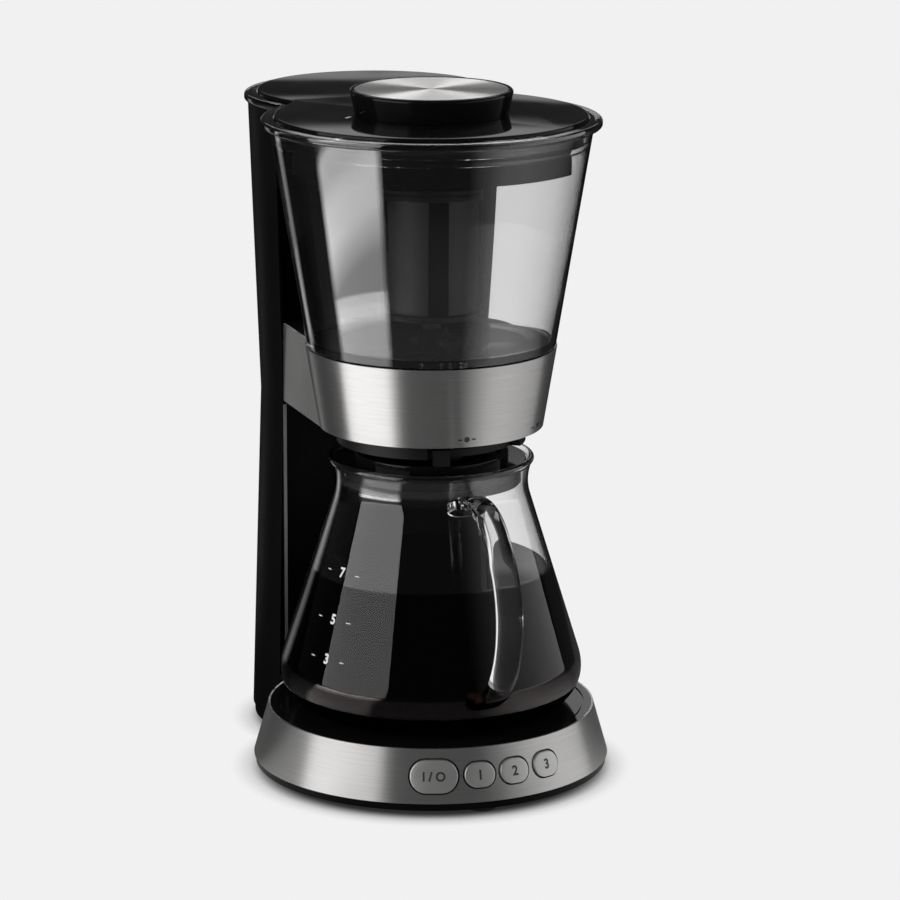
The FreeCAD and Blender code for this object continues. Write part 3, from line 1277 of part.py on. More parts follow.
# ------------------------------------------------------------------ basket
def make_basket():
    radius = S.basket_radius
    low = basket_low
    high = basket_high
    hub_top = low + S.spindle_head_height
    socket = S.spindle_head_radius
    wall = S.basket_wall
    floor = [(socket, low), (radius, low), (radius, low + S.basket_ring),
             (radius - wall, low + S.basket_ring), (radius - wall, low + S.basket_floor),
             (socket + wall, low + S.basket_floor),
             (socket + wall, hub_top + wall), (0, hub_top + wall), (0, hub_top), (socket, hub_top)]
    base = turned("basket_base", floor)
    top = ring("basket_top_ring", radius, radius - wall, high - S.basket_ring, high)
    ribs = []
    half = S.basket_rib_width / 2
    for i in range(BASKET_RIBS):
        rib = box(f"basket_rib_{i}", -half, half, -radius + S.basket_rib_sink, -radius + S.basket_rib_depth,
                  low + S.basket_ring - BEYOND, high - S.basket_ring + BEYOND)
        step = as_length(FULL_TURN / BASKET_RIBS * i + RIB_TURN)
        ribs.append(place(group(f"basket_rib_{i}_turned", [rib]), turn=step))
    node(fuse("basket_frame", base, top, *ribs))
    mesh_outer = radius - wall - S.mesh_gap
    node(ring("basket_mesh", mesh_outer, mesh_outer - S.mesh_wall, low + S.basket_floor, high - S.mesh_drop))
    plug = radius - 2 * wall
    lid_high = high + S.basket_lid_thickness
    edge = S.basket_lid_edge
    node(turned("basket_lid", [
        (0, high - S.basket_lid_plug), (plug, high - S.basket_lid_plug), (plug, high), (radius, high),
        (radius, lid_high - edge), Arc(radius - edge, lid_high, edge, 1),
        (S.basket_stud_radius, lid_high), (S.basket_stud_radius - edge, lid_high + S.basket_stud_height),
        (0, lid_high + S.basket_stud_height)]))

    dog_low = drive_dog_low + S.dog_plate + S.dog_gap
    dog_high = dog_low + S.dog_lug_height
    plate_top = dog_high + S.dog_plate
    plate = cylinder("spindle_dog_plate", S.dog_radius, dog_high, plate_top)
    lugs = dog_lugs("spindle_dog_lug", dog_low, dog_high, 1)
    node(fuse("driven_dog", plate, *lugs))
    head_low = chamber_floor + S.hub_height + S.contact_gap
    shaft = S.shaft_radius
    node(turned("spindle", [(0, plate_top), (shaft, plate_top), (shaft, head_low), (socket, head_low),
                            (socket, hub_top), (0, hub_top)]))


# --------------------------------------------------------------------- lid
def make_lid():
    brew = flange_radius - S.flange_rim - S.lid_gap
    behind = flange_column_radius - S.flange_rim - S.lid_gap
    plate = keyhole("lid_plate", brew, behind, lid_low, lid_top)
    wall = S.lid_skirt_wall
    hole = cylinder("lid_screw_hole", S.screw_radius, lid_low - BEYOND, lid_top + BEYOND)
    node(cut("chamber_lid", plate, hole))
    skirt = turned("lid_skirt", [
        (lid_skirt_radius - wall, lid_low),
        (lid_skirt_radius - wall, lid_skirt_low),
        (lid_skirt_radius, lid_skirt_low),
        (lid_skirt_radius, lid_collar_low),
        (lid_collar_radius, lid_collar_low),
        (lid_collar_radius, lid_low),
    ])
    node(cut("lid_plug", skirt, lid_gasket_ring("lid_gasket_groove", lid_collar_radius + BEYOND)))
    node(lid_gasket_ring("lid_gasket", lid_collar_radius + S.lid_gasket_reach))

    low = lid_top
    high = low + S.knob_height
    disc_top = high - S.knob_disc_sink
    disc_low = disc_top - S.knob_disc_thickness
    inside = disc_low - S.knob_wall
    node(turned("lid_knob", [
        (S.screw_radius, low), (S.knob_boss_radius, low), (S.knob_boss_radius, inside),
        (knob_foot_radius - S.knob_wall, inside), (knob_foot_radius - S.knob_wall, low),
        (knob_foot_radius, low), (S.knob_top_radius, high - S.knob_edge),
        Arc(S.knob_top_radius - S.knob_edge, high, S.knob_edge, 1),
        (knob_disc_radius, high), (knob_disc_radius, disc_low), (0, disc_low),
        (0, inside), (S.screw_radius, inside)]))
    node(turned("knob_disc", [(0, disc_low), (knob_disc_radius, disc_low), (knob_disc_radius, disc_top),
                              (0, disc_top)]))
    head_low = lid_low - S.screw_head_height
    node(turned("knob_screw", [(0, head_low), (S.screw_head_radius, head_low), (S.screw_head_radius, lid_low),
                               (S.screw_radius, lid_low), (S.screw_radius, inside), (0, inside)]))


def lid_gasket_ring(name, outer):
    high = lid_low - S.lid_gasket_drop
    return ring(name, outer, lid_collar_radius - S.lid_gasket_depth, high - S.lid_gasket_height, high)


# ------------------------------------------------------------------ carafe
def carafe_profile(inset, floor):
    """Heel, belly, cone and lip of the carafe, moved in by inset, from the floor to the rim."""
    belly_rise = belly_height - floor
    return [
        (S.belly_radius - S.heel_radius, floor),
        Arc(S.belly_radius - inset, belly_height, belly_rise, 1),
        Arc(shoulder_reach - inset * slope_cos, shoulder_height - inset * slope_sin,
            S.shoulder_radius - inset, 1),
        (neck_reach - inset * slope_cos, neck_height - inset * slope_sin),
        Arc(lip_reach(carafe_rim, inset), carafe_rim, S.lip_sweep + inset, -1),
    ]


def make_carafe():
    low = carafe_low
    outer = carafe_profile(ZERO, low)
    inner_floor = low + S.carafe_floor
    inner = carafe_profile(S.carafe_wall, inner_floor)
    rim_in = lip_reach(carafe_rim, S.carafe_wall)
    rim_out = lip_reach(carafe_rim, ZERO)
    lip = Arc(rim_in, carafe_rim, (rim_out - rim_in) / 2 + LIP_SLACK, 1)
    outline = [(0, low)] + outer + [lip] + walked_back(inner) + [(0, inner_floor)]
    node(turned("carafe_glass", outline))

    body = turned("carafe_envelope", [(0, low)] + outer + [(0, carafe_rim)])
    node(cut("carafe_handle", handle_strap(), body))
    make_carafe_lid()


def walked_back(profile):
    """The same profile walked from the rim down to the floor, with its arcs turned round."""
    result = []
    for index in range(len(profile) - 1, 0, -1):
        item = profile[index]
        r, z = corner_of(profile[index - 1])
        if isinstance(item, Arc):
            result.append(Arc(r, z, item.radius, -item.side))
        else:
            result.append((r, z))
    return result


def handle_strap():
    """An oval strap swept along two bends and the straight between them, in the plane x = 0."""
    reach = handle_root_reach.value
    height = handle_root_height.value
    heading = math.radians(S.handle_rise.value)
    edges = []
    start = point_in_plane(reach, height)
    for radius, turn in ((S.handle_top_radius.value, S.handle_top_turn.value), (None, None),
                         (S.handle_grip_radius.value, S.handle_grip_turn.value)):
        if radius is None:
            run = S.handle_run.value
            reach += run * math.cos(heading)
            height += run * math.sin(heading)
            end = point_in_plane(reach, height)
            edges.append(Part.LineSegment(start, end).toShape())
        else:
            centre_reach = reach + radius * math.sin(heading)
            centre_height = height - radius * math.cos(heading)
            points = []
            for share in (0.5, 1):
                way = heading - math.radians(turn) * share
                points.append((centre_reach - radius * math.sin(way), centre_height + radius * math.cos(way)))
            heading -= math.radians(turn)
            reach, height = points[1]
            end = point_in_plane(reach, height)
            edges.append(Part.Arc(start, point_in_plane(*points[0]), end).toShape())
        start = end
    tail = S.handle_tail.value
    tip = point_in_plane(reach + tail * math.cos(heading), height + tail * math.sin(heading))
    edges.append(Part.LineSegment(start, tip).toShape())
    path = Part.Wire(edges)
    rise = math.radians(S.handle_rise.value)
    first = point_in_plane(handle_root_reach.value, handle_root_height.value)
    across = FreeCAD.Vector(1, 0, 0)
    through = FreeCAD.Vector(0, math.sin(rise), math.cos(rise))
    oval = Part.Ellipse(first + across * (S.handle_width.value / 2),
                        first + through * (S.handle_thick.value / 2), first)
    section = Part.Wire([oval.toShape()])
    strap = doc.addObject("Part::Feature", "handle_strap")
    strap.Shape = path.makePipeShell([section], True, False)
    return strap


def point_in_plane(reach, height):
    return FreeCAD.Vector(0, -reach, height)


def make_carafe_lid():
    """A plug in the throat, a flange in the lip, and a raised disc with a dish and a drip hole."""
    seat = carafe_lid_seat
    flange = carafe_lid_flange_radius
    flange_high = seat + S.carafe_lid_flange_height
    disc = carafe_lid_disc_radius
    plug = carafe_lid_plug_radius
    plug_low = seat - S.carafe_lid_plug_depth
    wall = S.carafe_lid_wall
    hole = S.carafe_lid_hole
    edge = S.carafe_lid_edge
    dish = disc - S.carafe_lid_rim
    node(turned("carafe_lid", [
        (hole, seat - S.carafe_lid_lip), (hole + wall, seat - S.carafe_lid_lip), (hole + wall, seat),
        (plug - wall, seat), (plug - wall, plug_low),
        (plug, plug_low), (plug, seat), (flange, seat),
        (flange, flange_high - edge), Arc(flange - edge, flange_high, edge, 1),
        (disc, flange_high), (disc, carafe_lid_top - edge),
        Arc(disc - edge, carafe_lid_top, edge, 1), (dish, carafe_lid_top),
        (dish - edge, carafe_lid_top - S.carafe_lid_dish), (hole, seat + S.carafe_lid_dish_foot)]))
    low = plug_low + S.carafe_gasket_rise
    node(ring("carafe_lid_gasket", plug + S.carafe_gasket_reach, plug, low, low + S.carafe_gasket_height))


# ------------------------------------------------------------ all together
make_base()
make_buttons()
make_column()
make_arm()
make_lever()
make_drive()
make_chamber()
make_basket()
make_lid()
make_carafe()

doc.recompute()

for feature in doc.Objects:
    if "Invalid" in feature.State or "Error" in feature.State:
        raise RuntimeError(f"{feature.Name} failed: {feature.State}")
for piece in NODES:
    if piece.Shape.isNull() or not piece.Shape.isValid() or piece.Shape.Volume <= 0:
        raise RuntimeError(f"{piece.Label} has no sound solid")

os.makedirs("parts", exist_ok=True)
for piece in NODES:
    piece.Shape.exportStep(f"parts/{piece.Label}.step")
print(len(NODES), "pieces written")
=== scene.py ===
from math import asin, atan2, copysign, cos, degrees, exp, pi, radians, sin, sqrt, tan

import bmesh
import bpy
from mathutils import Matrix, Vector


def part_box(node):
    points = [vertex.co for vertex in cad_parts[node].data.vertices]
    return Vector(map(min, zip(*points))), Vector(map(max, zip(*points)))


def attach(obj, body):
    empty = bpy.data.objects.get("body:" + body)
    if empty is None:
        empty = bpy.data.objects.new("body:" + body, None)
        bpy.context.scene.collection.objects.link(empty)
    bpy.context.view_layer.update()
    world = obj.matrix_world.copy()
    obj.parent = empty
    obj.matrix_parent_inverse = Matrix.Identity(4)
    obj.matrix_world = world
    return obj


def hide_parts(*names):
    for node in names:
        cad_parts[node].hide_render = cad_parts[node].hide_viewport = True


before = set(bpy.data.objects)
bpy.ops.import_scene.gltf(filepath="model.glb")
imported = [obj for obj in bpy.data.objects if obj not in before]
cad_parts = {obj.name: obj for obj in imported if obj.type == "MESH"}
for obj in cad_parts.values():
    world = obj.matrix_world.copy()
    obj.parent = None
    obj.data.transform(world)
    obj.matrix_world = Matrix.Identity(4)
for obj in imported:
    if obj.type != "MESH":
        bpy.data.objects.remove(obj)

# Looks of a cold brew coffee maker: glass, clear plastic, brushed steel and black plastic, built
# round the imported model. Everything is in metres, in the model's frame, with the front of the
# machine at -y. An angle is counted from the front round the brew axis, in degrees, and is more
# than 0 to the right. A turn is the same in radians.

MM = 0.001

# ---- places read from the frame
DISC_LOW, DISC_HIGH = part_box("knob_disc")
AXIS_Y = (DISC_LOW.y + DISC_HIGH.y) / 2
BAND_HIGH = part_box("base_trim_band")[1]
ARM_LOW, ARM_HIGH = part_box("arm_trim_band")
CHAMBER_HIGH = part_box("mixing_chamber")[1]
CARAFE_LOW, CARAFE_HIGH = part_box("carafe_glass")
LID_LOW, LID_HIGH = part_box("chamber_lid")
KNOB_LOW, KNOB_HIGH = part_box("lid_knob")
BASKET_LOW, BASKET_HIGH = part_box("basket_frame")

# ---- camera
CAMERA_TURN = -19.5
CAMERA_TILT = 13.642
CAMERA_ROLL = 0.138
CAMERA_PLACE = (-0.70165, -2.03143, 0.69034)
CAMERA_LENS = 165.61
CAMERA_SENSOR = 36

# ---- lamps
# Name, sector, brightness and whether it is graded.
SIDE_LAMPS = (
    ("left_softbox", (-108.5, -51), 1.9, False),
    ("right_softbox", (10, 104), 0.9, True))
# Watts for each square metre of lamp and unit of brightness.
LAMP_POWER = 4
SIDE_LAMP_REACH = 1.5
SIDE_LAMP_HEIGHT = 0.55
SIDE_LAMP_TALL = 1.3
SIDE_LAMP_AIM = 0.2
# Shares of a graded lamp's width between which its brightness grows.
GRADED_SHARES = (0, 0.8)
TOP_LIGHT = 2
TOP_LAMP_PLACE = (0.3, 0.88, 1.6)
TOP_LAMP_AIM = (0, 0, 0.3)
TOP_LAMP_SIZE = (1.8, 0.8)

# ---- room
PALE = 0.88
ROOM_FILL = 0.55
ROOM_DARK = 0.03
# A glow opposite the camera, which metal and glass mirror, in two bands. The pairs say where it
# begins and ends, by parts of the direction.
HORIZON_GLOW = 0.8
LOW_GLOW = 0.35
GLOW_BACK = (0.78, 0.88)
GLOW_RIGHT = (0.05, 0.22)
LOW_GLOW_ENDS = (0.06, 0.09)
HORIZON_BEGINS = (0.22, 0.26)
HORIZON_ENDS = (0.36, 0.46)

# ---- floor as it is seen
FLOOR_SHADE = 0.62
FLOOR_MOTTLE = 0.01
FLOOR_LIGHT = 1.05
# The floor's glow for all other light: a painted bounce onto the object.
FLOOR_BOUNCE_GLOW = 0.5
SHADOW_REACH = 14 * MM
# A painted contact shadow darkens the floor's colour and glow round the foot, from the level below
# at its start to nothing at its reach.
PAINTED_SHADOW_START = -9.5 * MM
PAINTED_SHADOW_REACH = 3.5 * MM
PAINTED_SHADOW_LEVEL = 0.1

# ---- floor as it is mirrored
# Sectors are (start, its soft edge, stop, its soft edge). Pairs in MM are reaches from the axis.
# The floor glows at these levels only for metal and glass to mirror: painted reflections, bright in
# the side sectors and patches, dim in front and behind.
MIRRORED_FRONT = 0.14
MIRRORED_FAR_FRONT = 0.05
FRONT_DIMS = (500 * MM, 620 * MM)
MIRRORED_SIDE = 0.14
SIDE_DIMS = (112, 140)
LEFT_SECTOR = (-108.5, 3, -57, 3)
MIRRORED_LEFT = 0.8
MIRRORED_LEFT_END = 0.3
MIRRORED_PATCH = 2.4
MIRRORED_FAR_PATCH = 6.6
PATCH_START = 360 * MM
PATCH_STOP = 850 * MM
PATCH_EDGE = 40 * MM
PATCH_BRIGHTENS = (570 * MM, 660 * MM)
PATCH_DIMS = (730 * MM, 790 * MM)
PATCH_DIM_SHARE = 0.72
RIGHT_SECTOR = (22, 14, 78, 25)
MIRRORED_RIGHT = 0.85
MIRRORED_BEHIND = 0.45
BEHIND_SECTOR = (157, 3, 166, 3)
BEHIND_BEGINS = (250 * MM, 500 * MM)

# ---- base and column
BASE_RADIUS = BAND_HIGH.x
BAND_LEAN = 7.8 * MM
BAND_FOOT = 9.5 * MM
COLUMN_FOOT_RADIUS = 67.9 * MM
COLUMN_BEHIND = 95 * MM
BUTTON_HEIGHT = 21.7 * MM
BUTTON_PROUD = 0.8 * MM
BUTTON_DOME = 0.12 * MM
BUTTON_EDGE = 0.5 * MM
BUTTON_DEPTH = 2.7 * MM
BUTTON_KEEPER = 0.7 * MM
BUTTON_KEEPER_DEPTH = 1.5 * MM
# Name, half width and half height, angle, words and their size.
BUTTONS = (
    ("brew", (12.5 * MM, 8.2 * MM), -18.2, "I / O", 6.4 * MM),
    ("mild", (8.2 * MM, 6.2 * MM), -3, "1", 6.8 * MM),
    ("medium", (8.2 * MM, 6.2 * MM), 9.2, "2", 6.8 * MM),
    ("bold", (8.2 * MM, 6.2 * MM), 21.8, "3", 6.8 * MM))
# Strips on the column's front edges, light grey as painted highlights.
STRIP_LOW = 50 * MM
STRIP_HIGH = 186 * MM
STRIP_OUTER = 58.6 * MM
STRIP_INNER = 56.3 * MM
STRIP_PROUD = 0.3 * MM
STRIP_SUNK = 0.4 * MM

# ---- arm
ARM_FOOT_RADIUS = 59.3 * MM
ARM_TOP_RADIUS = 66.3 * MM

# ---- chamber
CHAMBER_FOOT = 231.3 * MM
CHAMBER_FOOT_RADIUS = 65.6 * MM
CHAMBER_NECK_RADIUS = 84.6 * MM
CHAMBER_WALL = 3 * MM
NECK_DROP = 1.5 * MM
LINE_DROPS = (5 * MM, 9 * MM)
LINE_RISE = 0.5 * MM
LINE_FALL = 1 * MM
LINE_PROUD = 0.45 * MM
FLANGE_HEIGHT = 4.2 * MM
FLANGE_COLUMN_RADIUS = 70 * MM
FLANGE_RIM = 6.8 * MM
FLANGE_FLOOR = 1.8 * MM
FLANGE_BEVEL = 0.8 * MM
KEYHOLE_CORNER = 4 * MM
PLUG_RADIUS = 49.9 * MM
PLUG_WALL = 2.4 * MM
PLUG_FOOT = 216 * MM
HUB_RADIUS = 7 * MM
HUB_BORE = 4.6 * MM
HUB_FOOT_RADIUS = 11.5 * MM
HUB_TOP_RADIUS = 7.8 * MM
HUB_HEIGHT = 7 * MM
HUB_DROP = 6 * MM
OUTLET_BEHIND = -34 * MM
OUTLET_RADIUS = 6 * MM
OUTLET_BORE = 4.2 * MM
OUTLET_FOOT = 223 * MM
OVERLAP = 2 * MM

# ---- lid and basket
LID_GAP = 0.4 * MM
KNOB_HOLLOW = 9 * MM
KNOB_FOOT_INSET = 3 * MM
KNOB_HOLLOW_INSET = 4.2 * MM
DISC_GAP = 0.05 * MM
BASKET_WALL = 2 * MM
BASKET_RING = 4 * MM
BASKET_FLOOR = 2.4 * MM
BASKET_SOCKET = 6 * MM
BASKET_HUB = 12 * MM
RIB_ANGLE = -10.9
RIB_SPAN = 23
RIB_OUTER = 0.2 * MM
RIB_INNER = 1.6 * MM
MESH_RADIUS = 24.5 * MM
MESH_PITCH = 0.45 * MM

# ---- carafe
BELLY_RADIUS = CARAFE_HIGH.x
HEEL_RADIUS = 20 * MM
SHOULDER_RADIUS = 27 * MM
CONE_TURN = radians(17.2)
NECK_RISE = 114 * MM
LIP_SWEEP = 28 * MM
LIP_RISE = 19.9 * MM
GLASS_WALL = 2.6 * MM
GLASS_FLOOR = 3.4 * MM
BEAD_RADIUS = 1.75 * MM
PUNT_CENTRE = -148 * MM
PUNT_RADIUS = 149.2 * MM
COFFEE_LEVEL = 111.3 * MM
COFFEE_IN_WALL = 0.15
COFFEE_IN_FLOOR = 0.6
MENISCUS = ((0, 0.6 * MM), (1.6 * MM, 0.45 * MM), (2.4 * MM, 0.1 * MM), (3.4 * MM, 0))
# The reach that the cone's line would have at height 0.
CONE_REACH = (
    BELLY_RADIUS - SHOULDER_RADIUS + SHOULDER_RADIUS * cos(CONE_TURN)
    + (CARAFE_LOW.z + HEEL_RADIUS + SHOULDER_RADIUS * sin(CONE_TURN)) * tan(CONE_TURN))
DRY_IOR = 1.58
WET_IOR = 1.36
HANDLE_IOR = 1.16
HANDLE_WIDTH = 14 * MM
HANDLE_THICK = 7.4 * MM
# The handle's upper end as (reach, height, heading in degrees), then its bends and straights as
# (radius or length, turned by in degrees, steps).
HANDLE_START = (50.5 * MM, 153.7 * MM, 35.7)
HANDLE_BENDS = ((38.9 * MM, 82.5, 22), (8.3 * MM, 0, 2), (51.2 * MM, 120.4, 34), (9 * MM, 0, 2))
HANDLE_SQUARENESS = 0.7
HANDLE_FLARE = 0.32
HANDLE_FLARE_SHARE = 0.055

# ---- printed marks, and the white tick on the lid
INK_WEIGHT = 0.03
MARK_PROUD = 0.08 * MM
BUTTON_MARK_PROUD = 0.16 * MM
SCALE_SPAN = 10.8 * MM
SCALE_HALF_DASH = 1.4 * MM
SCALE_HALF_LINE = 0.22 * MM
SIGN_HALF_LINE = 0.4 * MM
SCALE_DIGIT = 7 * MM
SCALE_MARKS = (("7", -67, 117.3 * MM), ("5", -66, 93.6 * MM), ("3", -65, 73.6 * MM))
SHUT_SIGN = (-1.3, 192.6 * MM)
OPEN_SIGN = (48.9, 192.2 * MM)
LID_TICK = (-45.4 * MM, 0.7 * MM)
LID_TICK_TURN = radians(43)

# ---- black plastics
# Shade, gloss, grain and specular level.
PLASTICS = {
    "gloss_black": (0.004, 0.07, 0.03, 0.15),
    "column_black": (0.003, 0.4, 0.06, 0.04),
    "satin_black": (0.008, 0.42, 0.25, 0.15),
    "basket_grey": (0.012, 0.35, 0.2, 0.3),
    "skirt_black": (0.003, 0.4, 0.2, 0.05),
    "rib_black": (0.004, 0.4, 0.2, 0.1),
    # A light grey for the strips that paint highlights on the column's edges.
    "strip_grey": (0.42, 0.4, 0.2, 0.3),
}

# ---- finish of every CAD node
FINISHES = {
    "steel": "base_trim_band arm_trim_band",
    "disc_steel": "knob_disc",
    "column_black": "column_lower_shell column_front_panel column_upper_shell",
    "gloss_black": "chamber_lid base_tray carafe_lid lid_knob lid_plug",
    "satin_black":
        "arm_frame arm_under_cover lever_retainer drain_lever column_top_plate button_carrier"
        " drain_push_pin drain_valve valve_cage drain_spout drive_dog driven_dog drive_pulley"
        " motor_pulley cord_gland tact_switches",
    "clear": "mixing_chamber",
    "glass": "carafe_glass carafe_handle",
    "silver": "brew_button mild_button medium_button bold_button",
    "skirt_black": "base_pan base_skirt",
    "rubber": "base_feet carafe_lid_gasket lid_gasket chamber_seal valve_seal drive_belt",
    # The spindle's steel is made dark: painted shade.
    "dark_steel": "spindle",
    "machined": "drive_shaft upper_bearing lower_bearing knob_screw",
    "zinc": "drive_motor motor_bracket motor_screws base_screws",
    "board": "control_board power_board",
    "bronze": "spindle_bush",
    "basket_grey": "basket_frame basket_lid",
    "mesh": "basket_mesh",
}


# ---- camera, lights and floor
def linked(name, data):
    """A new object in the scene that holds data."""
    made = bpy.data.objects.new(name, data)
    bpy.context.scene.collection.objects.link(made)
    return made


def about_axis(turn, reach, height, behind=0):
    """A place round the brew axis, or round an upright axis behind it."""
    return reach * sin(turn), AXIS_Y + behind - reach * cos(turn), height


def add_camera():
    data = bpy.data.cameras.new("camera")
    data.lens = CAMERA_LENS
    data.sensor_width = CAMERA_SENSOR
    camera = linked("camera", data)
    turn = Matrix.Rotation(radians(CAMERA_TURN), 4, "Z")
    tilt = Matrix.Rotation(radians(90 - CAMERA_TILT), 4, "X")
    roll = Matrix.Rotation(radians(CAMERA_ROLL), 4, "Z")
    camera.matrix_world = Matrix.Translation(CAMERA_PLACE) @ turn @ tilt @ roll
    bpy.context.scene.camera = camera


def softbox(name, centre, target, width, height, radiance, graded=False):
    """A rectangular lamp that faces target. Its power follows from its size and brightness.

    A graded one is dark at its left, as seen from the target, and full at its right."""
    data = bpy.data.lights.new(name, "AREA")
    data.shape = "RECTANGLE"
    data.size = width
    data.size_y = height
    data.energy = LAMP_POWER * radiance * width * height
    lamp = linked(name, data)
    lamp.location = centre
    facing = Vector(target) - Vector(centre)
    lamp.rotation_euler = facing.to_track_quat("-Z", "Y").to_euler()
    lamp.visible_camera = False
    lamp.visible_transmission = False
    if graded:
        paint = Paint(name, data, "ShaderNodeOutputLight")
        across = paint.parts(paint.add("ShaderNodeNewGeometry").outputs["Parametric"])[0]
        paint.show(paint.glow(paint.spread(across, 0, 1, *GRADED_SHARES, smooth=True)))


def add_lights():
    """A softbox to each side, as wide as its sector of the floor, and one overhead behind."""
    aim = (0, AXIS_Y, SIDE_LAMP_AIM)
    for name, (start, stop), radiance, graded in SIDE_LAMPS:
        width = 2 * SIDE_LAMP_REACH * tan(radians(stop - start) / 2)
        centre = about_axis(radians((start + stop) / 2), SIDE_LAMP_REACH, SIDE_LAMP_HEIGHT)
        softbox(name, centre, aim, width, SIDE_LAMP_TALL, radiance, graded)
    softbox("top_softbox", TOP_LAMP_PLACE, TOP_LAMP_AIM, *TOP_LAMP_SIZE, TOP_LIGHT)


def add_world():
    """Pale to the eye and through glass, an even fill as a light, a dark room in reflections."""
    world = bpy.data.worlds.new("studio")
    bpy.context.scene.world = world
    world.cycles.sampling_method = "NONE"
    paint = Paint("studio", world, "ShaderNodeOutputWorld")
    x, y, z = paint.parts(paint.add("ShaderNodeTexCoord").outputs["Generated"])
    opposite = paint.times(
        paint.spread(y, 0, 1, *GLOW_BACK), paint.spread(x, 0, 1, *GLOW_RIGHT))
    low = paint.spread(z, LOW_GLOW, 0, *LOW_GLOW_ENDS)
    high = paint.times(
        paint.spread(z, 0, HORIZON_GLOW, *HORIZON_BEGINS),
        paint.spread(z, 1, 0, *HORIZON_ENDS))
    level = paint.math("MAXIMUM", paint.times(opposite, paint.plus(low, high)), ROOM_DARK)

    def background(shade, strength):
        return paint.add("ShaderNodeBackground", {"Color": grey(shade), "Strength": strength})
    paint.by_ray(background(PALE, 1), background(1, level), background(1, ROOM_FILL))


def add_floor():
    bm = bmesh.new()
    bmesh.ops.create_grid(bm, x_segments=4, y_segments=4, size=6)
    floor = finish_piece("floor", bm, floor_paint())


# ---- materials
class Paint:
    """Short hand for the node tree of a material, of a lamp or of the world."""

    def __init__(self, name, owner=None, output="ShaderNodeOutputMaterial"):
        self.owner = owner or bpy.data.materials.new(name)
        self.owner.use_nodes = True
        self.tree = self.owner.node_tree
        self.tree.nodes.clear()
        self.output = self.add(output)

    def feed(self, socket, value):
        """Links a socket or a node's first output to the socket, or sets a constant there."""
        if isinstance(value, bpy.types.Node):
            value = value.outputs[0]
        if isinstance(value, bpy.types.NodeSocket):
            self.tree.links.new(value, socket)
        else:
            socket.default_value = value

    def add(self, kind, inputs=None, **settings):
        node = self.tree.nodes.new(kind)
        for key, value in settings.items():
            setattr(node, key, value)
        for key, value in (inputs or {}).items():
            self.feed(node.inputs[key], value)
        return node

    def show(self, shader):
        """Puts a shader node on the surface."""
        self.feed(self.output.inputs["Surface"], shader)

    def math(self, operation, *values):
        return self.add("ShaderNodeMath", dict(enumerate(values)), operation=operation)

    def times(self, first, second):
        return self.math("MULTIPLY", first, second)

    def plus(self, first, second):
        return self.math("ADD", first, second)

    def less(self, first, second):
        return self.math("SUBTRACT", first, second)

    def length(self, across, along):
        squares = self.plus(self.times(across, across), self.times(along, along))
        return self.math("SQRT", squares)

    def vector(self, x, y, z):
        return self.add("ShaderNodeCombineXYZ", {"X": x, "Y": y, "Z": z})

    def point(self):
        """The point on the piece, in metres."""
        return self.add("ShaderNodeTexCoord").outputs["Object"]

    def parts(self, vector):
        return self.add("ShaderNodeSeparateXYZ", {"Vector": vector}).outputs[:]

    def round_brew_axis(self):
        """Turn from the front, distance from the brew axis, and height of the point."""
        x, y, z = self.parts(self.point())
        forward = self.less(AXIS_Y, y)
        return self.math("ARCTAN2", x, forward), self.length(x, forward), z

    def noise(self, scale, detail=3, vector=None):
        """Noise over the piece, or over another vector."""
        place = self.point() if vector is None else vector
        inputs = {"Vector": place, "Scale": scale, "Detail": detail, "Roughness": 0.5}
        return self.add("ShaderNodeTexNoise", inputs).outputs["Fac"]

    def spread(self, value, low, high, start=0.3, stop=0.7, smooth=False):
        """Goes from low to high while value goes from start to stop."""
        inputs = {"Value": value, "From Min": start, "From Max": stop, "To Min": low,
                  "To Max": high}
        kind = "SMOOTHSTEP" if smooth else "LINEAR"
        return self.add("ShaderNodeMapRange", inputs, interpolation_type=kind)

    def blend(self, factor, first, second):
        inputs = {"Factor": factor, 6: first, 7: second}
        return self.add("ShaderNodeMix", inputs, data_type="RGBA").outputs[2]

    def greys(self, factor, first, second, warm=0):
        return self.blend(factor, grey(first, warm), grey(second, warm))

    def bump(self, height, strength, distance):
        inputs = {"Strength": strength, "Distance": distance, "Height": height}
        return self.add("ShaderNodeBump", inputs)

    def glow(self, strength):
        return self.add("ShaderNodeEmission", {"Color": grey(1), "Strength": strength})

    def by_ray(self, seen, mirrored, fill):
        """One shader for the eye and straight through glass, one for mirroring metal and glass,
        and one for all other light."""
        path = self.add("ShaderNodeLightPath").outputs
        glossed = self.math("MINIMUM", path["Glossy Depth"], 1)
        through = self.math("MAXIMUM", path["Is Camera Ray"], path["Is Transmission Ray"])
        light = self.add("ShaderNodeMixShader", {"Fac": glossed, 1: fill, 2: mirrored})
        plain = self.less(through, glossed)
        self.show(self.add("ShaderNodeMixShader", {"Fac": plain, 1: light, 2: seen}))

    def surface(self, **inputs):
        """The material, once it has its main shader. Input names are written with underscores."""
        shader = self.add("ShaderNodeBsdfPrincipled")
        for key, value in inputs.items():
            self.feed(shader.inputs[key.replace("_", " ")], value)
        self.show(shader)
        return self.owner


def grey(value, warm=0):
    return (value * (1 + warm), value, value * (1 - warm), 1)


